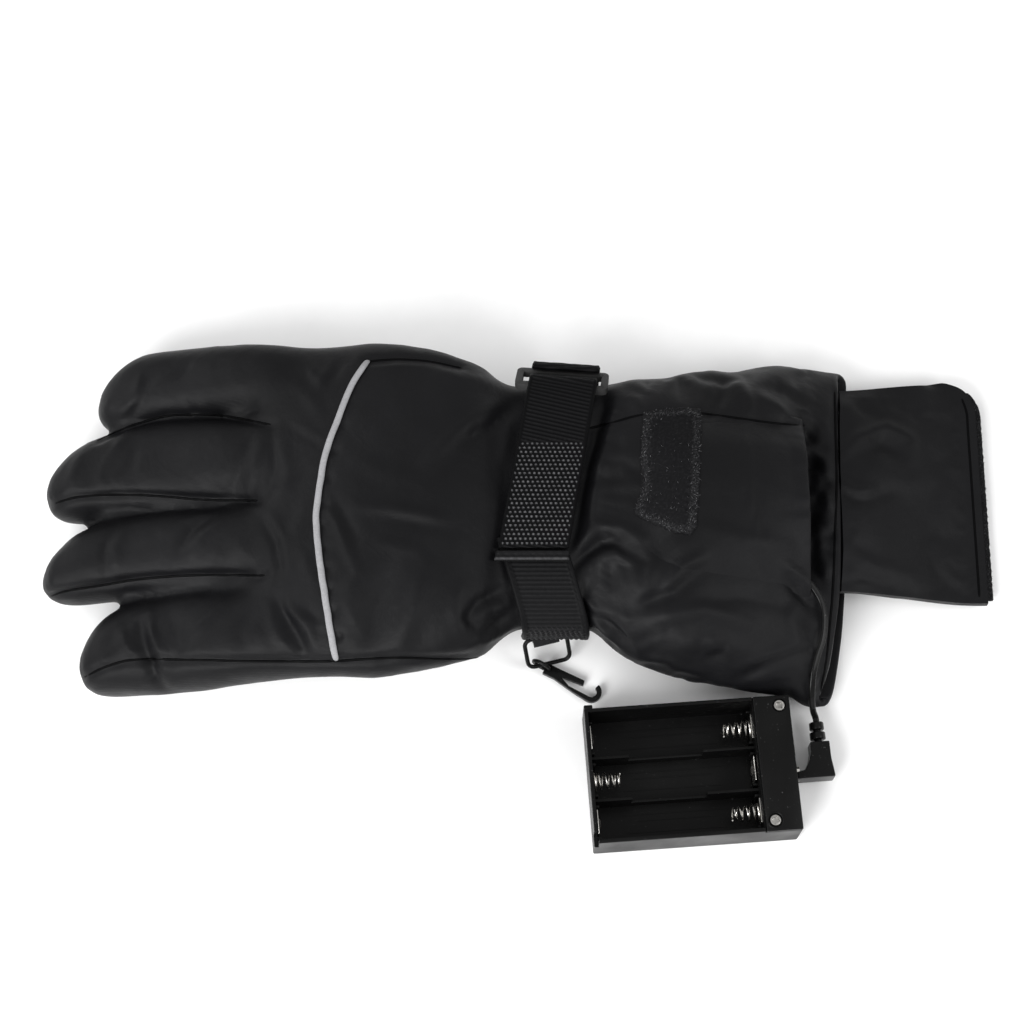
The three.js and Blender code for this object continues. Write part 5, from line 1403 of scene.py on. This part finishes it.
def stripPoint(u, v):
    x, y, z = flapPoint(1.0, 0.03 + 0.94 * v)
    reach = strip["proud"] - (1 - u) * strip["length"]
    under = max(z - flap["thick"] - 0.4, 0.4 + strip["thick"])
    return (x + reach + 0.25 * cloud((v * 77, u * 9), 1.3) * u, y, under)


stripPiece = grid("hookStripPiece", 150, 20, stripPoint)
toneAndHighlightOn(stripPiece, [0.03 + 0.1 * max(cloud((p[0], p[1]), 0.5), 0) for p in pointsOf(stripPiece)])
modify(stripPiece, "SOLIDIFY", thickness=strip["thick"] / 1000, offset=-1)
points, normals = pointsOf(stripPiece), normalsOf(stripPiece)
points += normals * np.array([0.12 * cloud((p[0], p[1]), 0.6, p[2]) for p in points])[:, None]
movePoints(stripPiece, points)
picker = np.random.default_rng(6)
outAndUp = np.array((0.75, 0, 0.66))
ends = [(np.array(stripPoint(picker.uniform(0.86, 1.0), v)), outAndUp) for v in picker.uniform(0.005, 0.995, 900)]
stripPiece = join([stripPiece, fibres("stripFuzz", ends, 0.7, 0.7, 12)], "hookStripPiece")
finished(stripPiece, "hook_pile", pile, "hook_strip")
print("strip made")


# Wire ring and clip under the strap
hang = {"wire": 1.5, "width": 15, "depth": 11.5, "x": -2.6, "angle": 208, "turn": 14, "corner": 0.16}
clip = {
    "length": 27, "thick": 2.8, "eye": 3.7, "eyeWall": 1.3, "hook": 3.6, "bar": 1.7,
    "turn": -28, "place": -3,
}
ringOff = strap["off"] + hang["wire"] / 2 + strap["gap"] + strap["thick"]
ringTop = wristPoint(hang["angle"], ringOff)
ringTilt = math.asin((ringTop[1] - clip["eye"]) / hang["depth"])
hanging = (
    Matrix.Translation(metres(hang["x"], ringTop[0], ringTop[1])) @ Matrix.Rotation(math.radians(hang["turn"]), 4, "Z")
    @ Matrix.Rotation(ringTilt, 4, "X")
)


# The ring is a bent wire: a round section carried along the rounded outline
def wireLoop(name, outline, wire, sides=12):
    points, faces = [], []
    count = len(outline)
    for i, p in enumerate(outline):
        way = outline[(i + 1) % count] - outline[i - 1]
        way /= np.linalg.norm(way)
        out = np.array((way[1], -way[0], 0))
        for k in range(sides):
            t = 2 * math.pi * k / sides
            points.append(p + out * math.cos(t) * wire / 2 + np.array((0, 0, 1.0)) * math.sin(t) * wire / 2)
            n = (k + 1) % sides
            j = (i + 1) % count
            faces.append((i * sides + k, j * sides + k, j * sides + n, i * sides + n))
    mesh = bpy.data.meshes.new(name)
    mesh.from_pydata([tuple(p / 1000) for p in points], [], faces)
    obj = bpy.data.objects.new(name, mesh)
    bpy.context.scene.collection.objects.link(obj)
    outward(obj)
    return obj


corner = hang["width"] * hang["corner"]
outline = []
for cx, cy, start in ((1, 1, 0), (-1, 1, 90), (-1, -1, 180), (1, -1, 270)):
    for turn in np.linspace(start, start + 90, 7):
        t = math.radians(turn)
        outline.append(np.array((
            cx * (hang["width"] / 2 - corner) + corner * math.cos(t),
            cy * (hang["depth"] / 2 - corner) + corner * math.sin(t) - hang["depth"] / 2, 0.0,
        )))
wireRingPiece = wireLoop("wireRingPiece", outline, hang["wire"])
wireRingPiece.matrix_world = hanging
settle(wireRingPiece, 60)
finished(wireRingPiece, "black_plastic", blackPlastic, "wire_ring")

# Tab of webbing round the ring's upper side
holder = {"columns": 19, "around": 34, "width": 0.6, "start": -150, "turn": 310}
columns, around = holder["columns"], holder["around"]
points, faces = [], []
inner = hang["wire"] / 2 + strap["gap"]
for j in range(columns):
    x = (j / (columns - 1) - 0.5) * hang["width"] * holder["width"]
    for i in range(around):
        t = math.radians(holder["start"] + holder["turn"] * i / (around - 1))
        for r in (inner, inner + strap["thick"] * (1 - 0.12 * (i % 2))):
            point = hanging @ Vector((x / 1000, r * math.cos(t) / 1000, r * math.sin(t) / 1000))
            points.append(fromFrame(point * 1000))
for j in range(columns - 1):
    for i in range(around - 1):
        a = (j * around + i) * 2
        b = a + 2 * around
        faces += [(a + 1, a + 3, b + 3, b + 1), (a, b, b + 2, a + 2)]
        if j == 0:
            faces.append((a, a + 2, a + 3, a + 1))
        if j == columns - 2:
            faces.append((b, b + 1, b + 3, b + 2))
    a = j * around * 2
    b = a + 2 * around
    faces += [(a, a + 1, b + 1, b), (b - 2, b + 2 * around - 2, b + 2 * around - 1, b - 1)]
holderPiece = meshOf("ringHolderPiece", points, faces)
outward(holderPiece)
smoothShaded(holderPiece)
toneAndHighlightOn(holderPiece, np.full(len(holderPiece.data.vertices), 0.1))
finished(holderPiece, "webbing", webbing, "ring_holder")

# Clip: one springy plastic hook, laid out flat, then thickened and rounded
hangPoint = hanging @ Vector((clip["place"] / 1000, -hang["depth"] / 1000, 0))


def arc(cx, cy, radius, start, end, steps):
    return [(cx + radius * math.cos(math.radians(t)), cy + radius * math.sin(math.radians(t)))
            for t in np.linspace(start, end, steps)]


clipEnd = clip["length"] - clip["eye"] - clip["hook"]
shank = clip["eye"] * 0.55
innerHook = clip["hook"] - clip["bar"]
outline = [(clip["eye"] * 0.4, -shank), (clip["eye"] * 1.6, -shank * 0.92), (clipEnd * 0.7, -clip["hook"] * 0.86)]
outline += arc(clipEnd, 0, clip["hook"], -90, 72, 14) + arc(clipEnd, 0, innerHook, 72, -90, 12)
outline += [(clipEnd * 0.6, -shank + 0.2), (clip["eye"] * 2.2, clip["bar"] - shank), (clip["eye"] * 2.2, 0)]
outline += [(clipEnd - clip["hook"], innerHook * 0.4), (clipEnd - clip["hook"] * 1.1, innerHook * 0.4 + clip["bar"])]
outline += [(clip["eye"] * 1.6, shank * 1.02), (clip["eye"] * 0.4, shank)]
nothing()
clipMesh = bpy.data.meshes.new("clipPiece")
clipMesh.from_pydata([(x / 1000, y / 1000, 0.0002) for x, y in outline], [], [tuple(range(len(outline)))])
clipPiece = bpy.data.objects.new("clipPiece", clipMesh)
bpy.context.scene.collection.objects.link(clipPiece)
edit(clipPiece)
bpy.ops.mesh.select_all(action="SELECT")
bpy.ops.mesh.extrude_region_move(TRANSFORM_OT_translate={"value": (0, 0, (clip["thick"] - 0.4) / 1000)})
objectMode()
outward(clipPiece)
modify(clipPiece, "BEVEL", width=0.0005, segments=3, limit_method="ANGLE", angle_limit=math.radians(40))
nothing()
bpy.ops.mesh.primitive_torus_add(
    major_segments=36, minor_segments=12, major_radius=(clip["eye"] - clip["eyeWall"] / 2) / 1000,
    minor_radius=clip["eyeWall"] / 2000, rotation=(math.pi / 2, 0, 0), location=(0, 0, clip["eye"] / 1000),
)
eyePiece = bpy.context.object
settle(eyePiece, 60)
clipPiece = join([clipPiece, eyePiece], "clipPiece")
clipTurn = Matrix.Rotation(math.radians(clip["turn"]), 4, "Z")
clipPiece.matrix_world = Matrix.Translation(Vector((hangPoint.x, hangPoint.y, 0))) @ clipTurn
settle(clipPiece, 40)
finished(clipPiece, "black_plastic", blackPlastic, "clip")
print("ring and clip made")


# Battery case
cell = {"diameter": 14.5, "pitch": 14.6}
case = {
    "length": 70, "width": 46.4, "height": 19, "wall": 1.3, "cover": 12.7, "coverThick": 1.6,
    "divider": 0.9, "low": 6.4, "high": 12, "farStep": 13, "nearStep": 17.55, "notch": 4, "notchRise": 12,
    "lug": 3, "lugProud": 1.2, "ribAside": 5.4, "ribDeep": 1.5, "ribHigh": 11.5,
    # across the bay and half the length, as a share of the bay
    "floorRibs": ((-2.6, 0.3), (1.4, 0.24), (3.6, 0.34)),
}
bayStart = -case["length"] / 2 + case["wall"]
bayEnd = case["length"] / 2 - case["cover"]
wellTop = case["height"] - case["coverThick"] - 0.35


def block(x0, x1, y0, y1, z0, z1, rounding=0.0, segments=2):
    nothing()
    bpy.ops.mesh.primitive_cube_add(size=1, location=((x0 + x1) / 2000, (y0 + y1) / 2000, (z0 + z1) / 2000))
    obj = bpy.context.object
    obj.scale = ((x1 - x0) / 1000, (y1 - y0) / 1000, (z1 - z0) / 1000)
    settle(obj, 0)
    if rounding:
        modify(obj, "BEVEL", width=rounding / 1000, segments=segments)
    return obj


def cut(obj, cutter, operation="DIFFERENCE"):
    modify(obj, "BOOLEAN", operation=operation, object=cutter, solver="EXACT")
    bpy.data.objects.remove(cutter)


def rodAlong(axis, radius, length, x, y, z, sides=32):
    nothing()
    turn = {"x": (0, math.pi / 2, 0), "y": (math.pi / 2, 0, 0), "z": (0, 0, 0)}[axis]
    bpy.ops.mesh.primitive_cylinder_add(vertices=sides, radius=radius / 1000, depth=length / 1000, rotation=turn,
                                        location=(x / 1000, y / 1000, z / 1000))
    obj = bpy.context.object
    settle(obj, 0)
    return obj


hx, hy = case["length"] / 2, case["width"] / 2
shell = block(-hx, hx, -hy, hy, 0, case["height"], 0.5, 3)
shell.name = "batteryCasePiece"
cut(shell, block(bayStart, bayEnd, case["wall"] - hy, hy - case["wall"], case["wall"], 30))
cut(shell, block(bayEnd + case["wall"], hx - case["wall"], case["wall"] - hy, hy - case["wall"], case["wall"], 30))
cut(shell, block(bayEnd, hx + 1, -hy - 1, hy + 1, wellTop, 30))
cut(shell, block(-hx - 1, bayStart + 0.1, -hy - 1, case["notch"] - hy, case["notchRise"], 30))
cut(shell, rodAlong("x", 3.1, 4, hx - case["wall"] / 2, -1.7, 6.4))
modify(shell, "BEVEL", width=0.00018, segments=2, limit_method="ANGLE", angle_limit=math.radians(50))
for row in (-0.5, 0.5):
    at = row * cell["pitch"]
    half = case["divider"] / 2
    wallPiece = block(bayStart - 0.1, bayEnd + 0.1, at - half, at + half, case["wall"] - 0.1, case["low"], 0.2)
    cut(shell, wallPiece, "UNION")
    half += 0.04
    for x0, x1, foot in (
        (bayStart - 0.15, bayStart + case["farStep"], 1.1), (bayEnd - case["nearStep"], bayEnd + 0.15, 1.05),
    ):
        cut(shell, block(x0, x1, at - half, at + half, foot, case["high"], 0.2), "UNION")
cut(shell, block(-hx, case["lug"] - hx, hy - 0.3, hy + case["lugProud"], 0, case["height"], 0.45, 3), "UNION")
for row in (-1, 0, 1):  # ribs that hold each contact, and low ribs along the floor
    at = row * cell["pitch"]
    middle = (bayStart + bayEnd) / 2
    for beside, share in case["floorRibs"]:
        reach = share * (bayEnd - bayStart)
        cut(shell, block(middle - reach, middle + reach, at + beside - 0.14, at + beside + 0.14, 1.2, 1.52), "UNION")
    for end in (bayStart, bayEnd):
        for side in (-1, 1):
            inward = 1 if end == bayStart else -1
            near, far = sorted((end - inward * 0.1, end + inward * case["ribDeep"]))
            beside = at + side * case["ribAside"]
            rib = block(near, far, beside - 0.4, beside + 0.4, case["wall"] - 0.1, case["ribHigh"], 0.15)
            cut(shell, rib, "UNION")
screwSteel = metalFinish("screwSteel", (0.42, 0.41, 0.39), 0.26)
screwSize = {
    "head": 1.75, "headHigh": 1.1, "proud": 0.175, "shank": 1.38, "shankLong": 5.4, "recess": 1.0, "slot": 0.52,
}
screwSpots = ((hx - 3.6, hy - 3.6), (bayEnd + 3.6, 3.6 - hy))
for x, y in screwSpots:
    cut(shell, rodAlong("z", 2.9, wellTop - 1.2, x, y, (wellTop + 1.2) / 2), "UNION")
    cut(shell, rodAlong("z", 1.45, 7.6, x, y, wellTop))
settle(shell, 35)
modify(shell, "WEIGHTED_NORMAL", keep_sharp=True, weight=90)
turnedWithCase(shell)
casePlastic = plasticFinish("casePlastic", 0.0022, 0.36, 0.1, 900.0)
finished(shell, "black_plastic", casePlastic, "battery_case")

cover = block(bayEnd + 0.35, hx, -hy, hy, case["height"] - case["coverThick"], case["height"], 0.4, 3)
cover.name = "caseCoverPiece"
for x, y in screwSpots:
    cut(cover, rodAlong("z", 2.35, 2.55, x, y, case["height"]))
    cut(cover, rodAlong("z", 1.45, 8, x, y, case["height"]))
    nothing()
    bpy.ops.mesh.primitive_torus_add(
        major_segments=40, minor_segments=10, major_radius=0.0027, minor_radius=0.00028,
        location=(x / 1000, y / 1000, (case["height"] - 0.08) / 1000),
    )
    rim = bpy.context.object
    settle(rim, 0)
    cover = join([cover, rim], "caseCoverPiece")
settle(cover, 35)
turnedWithCase(cover)
finished(cover, "black_plastic", casePlastic, "case_cover")

headTop = case["height"] + screwSize["proud"]
for name, (x, y), turn in (("far", screwSpots[0], 35), ("near", screwSpots[1], -20)):
    screw = rodAlong("z", screwSize["head"], screwSize["headHigh"], x, y, headTop - screwSize["headHigh"] / 2, 40)
    edit(screw)
    pick(screw, lambda co, face: face.normal.z > 0.9)
    bpy.ops.mesh.inset(thickness=0.0006)
    bpy.ops.transform.translate(value=(0, 0, 0.00004))
    objectMode()
    shankMiddle = headTop - screwSize["shankLong"] / 2
    cut(screw, rodAlong("z", screwSize["shank"], screwSize["shankLong"], x, y, shankMiddle, 20), "UNION")
    cut(screw, rodAlong("z", screwSize["recess"], 2.6, x, y, headTop, 24))
    half = screwSize["slot"] / 2
    for cross in (0, 90):
        slot = block(-1.4, 1.4, -half, half, case["height"] - 0.9, case["height"] + 1)
        slotTurn = Matrix.Rotation(math.radians(turn + cross), 4, "Z")
        slot.matrix_world = Matrix.Translation((x / 1000, y / 1000, 0)) @ slotTurn
        settle(slot, 0)
        cut(screw, slot)
    modify(screw, "BEVEL", width=0.00012, segments=2, limit_method="ANGLE", angle_limit=math.radians(40))
    screw.name = "screw" + name.capitalize()
    settle(screw, 35)
    turnedWithCase(screw)
    finished(screw, "plated_metal", screwSteel, "case_screw_" + name)

spring = {"turns": 5, "perTurn": 22, "wide": 3.1, "narrow": 2.1, "length": 9, "wire": 0.55, "off": 0.35}
contact = {"half": 4.2, "off": 0.35, "thick": 0.5}
contactRise = case["wall"] + cell["diameter"] / 2


def springReach(share):
    first, here, last = [float(smoothly(t, -0.12, 1.12)) for t in (0, share, 1)]
    return spring["off"] + spring["wire"] / 2 + spring["length"] * (here - first) / (last - first)


def wireRing(centre, side, up):
    turns = np.linspace(0, 2 * math.pi, 9)[:-1]
    return fromFrame([centre + (side * math.cos(a) + up * math.sin(a)) * spring["wire"] / 2 for a in turns])


def plateBlock(x0, x1, y, rounding=0.0):
    low, high = sorted((x0, x1))
    half = contact["half"]
    return block(low, high, y - half, y + half, contactRise - half, contactRise + half, rounding)


for name, row, inward in (("far", 1, 1), ("middle", 0, -1), ("near", -1, 1)):
    y = row * cell["pitch"]
    springWall, plateWall = (bayEnd, bayStart) if inward > 0 else (bayStart, bayEnd)
    path = []
    steps = spring["turns"] * spring["perTurn"]
    for i in range(steps + 1):
        share = i / steps
        radius = spring["wide"] + (spring["narrow"] - spring["wide"]) * share
        t = 2 * math.pi * i / spring["perTurn"]
        path.append(np.array((
            springWall - inward * springReach(share), y - inward * radius * math.cos(t),
            contactRise + radius * math.sin(t),
        )))
    coil = tube("springPiece", carried(path, np.array((1.0, 0, 0)), wireRing), True, True)
    foot = plateBlock(springWall - inward * 0.02, springWall - inward * 0.33, y, 0.1)
    coil = join([coil, foot], "spring" + name.capitalize())
    settle(coil, 40)
    turnedWithCase(coil)
    finished(coil, "plated_metal", plated, "spring_" + name)
    plateStart = plateWall + inward * contact["off"]
    plate = plateBlock(plateStart, plateStart + inward * contact["thick"], y)
    edit(plate)
    pick(plate, lambda co, face: face.normal.x * inward > 0.9)
    bpy.ops.mesh.inset(thickness=0.0022)
    bpy.ops.mesh.extrude_region_move(TRANSFORM_OT_translate={"value": (inward * 0.0008, 0, 0)})
    bpy.ops.transform.resize(value=(1, 0.6, 0.6))
    objectMode()
    modify(plate, "BEVEL", width=0.00025, segments=3, limit_method="ANGLE", angle_limit=math.radians(40))
    plate.name = "contact" + name.capitalize()
    settle(plate, 40)
    turnedWithCase(plate)
    finished(plate, "plated_metal", plated, "contact_" + name)
print("battery case made")


# Table and end
floorMaterial, nodes, links, shader = finish("paleTable", (0.9, 0.9, 0.9), 0.6)
grain = textures(nodes, links, {"Scale": 60.0, "Detail": 3.0})[0]
links.new(ramp(nodes, links, grain.outputs["Fac"], 0.3, 0.89, 0.7, 0.92), shader.inputs["Base Color"])
nothing()
bpy.ops.mesh.primitive_plane_add(size=40, location=(0, 0, -0.0004))
table = bpy.context.object
table.name = "table"
settle(table, 0)
table.data.materials.append(floorMaterial)

nothing()
print("all pieces made")
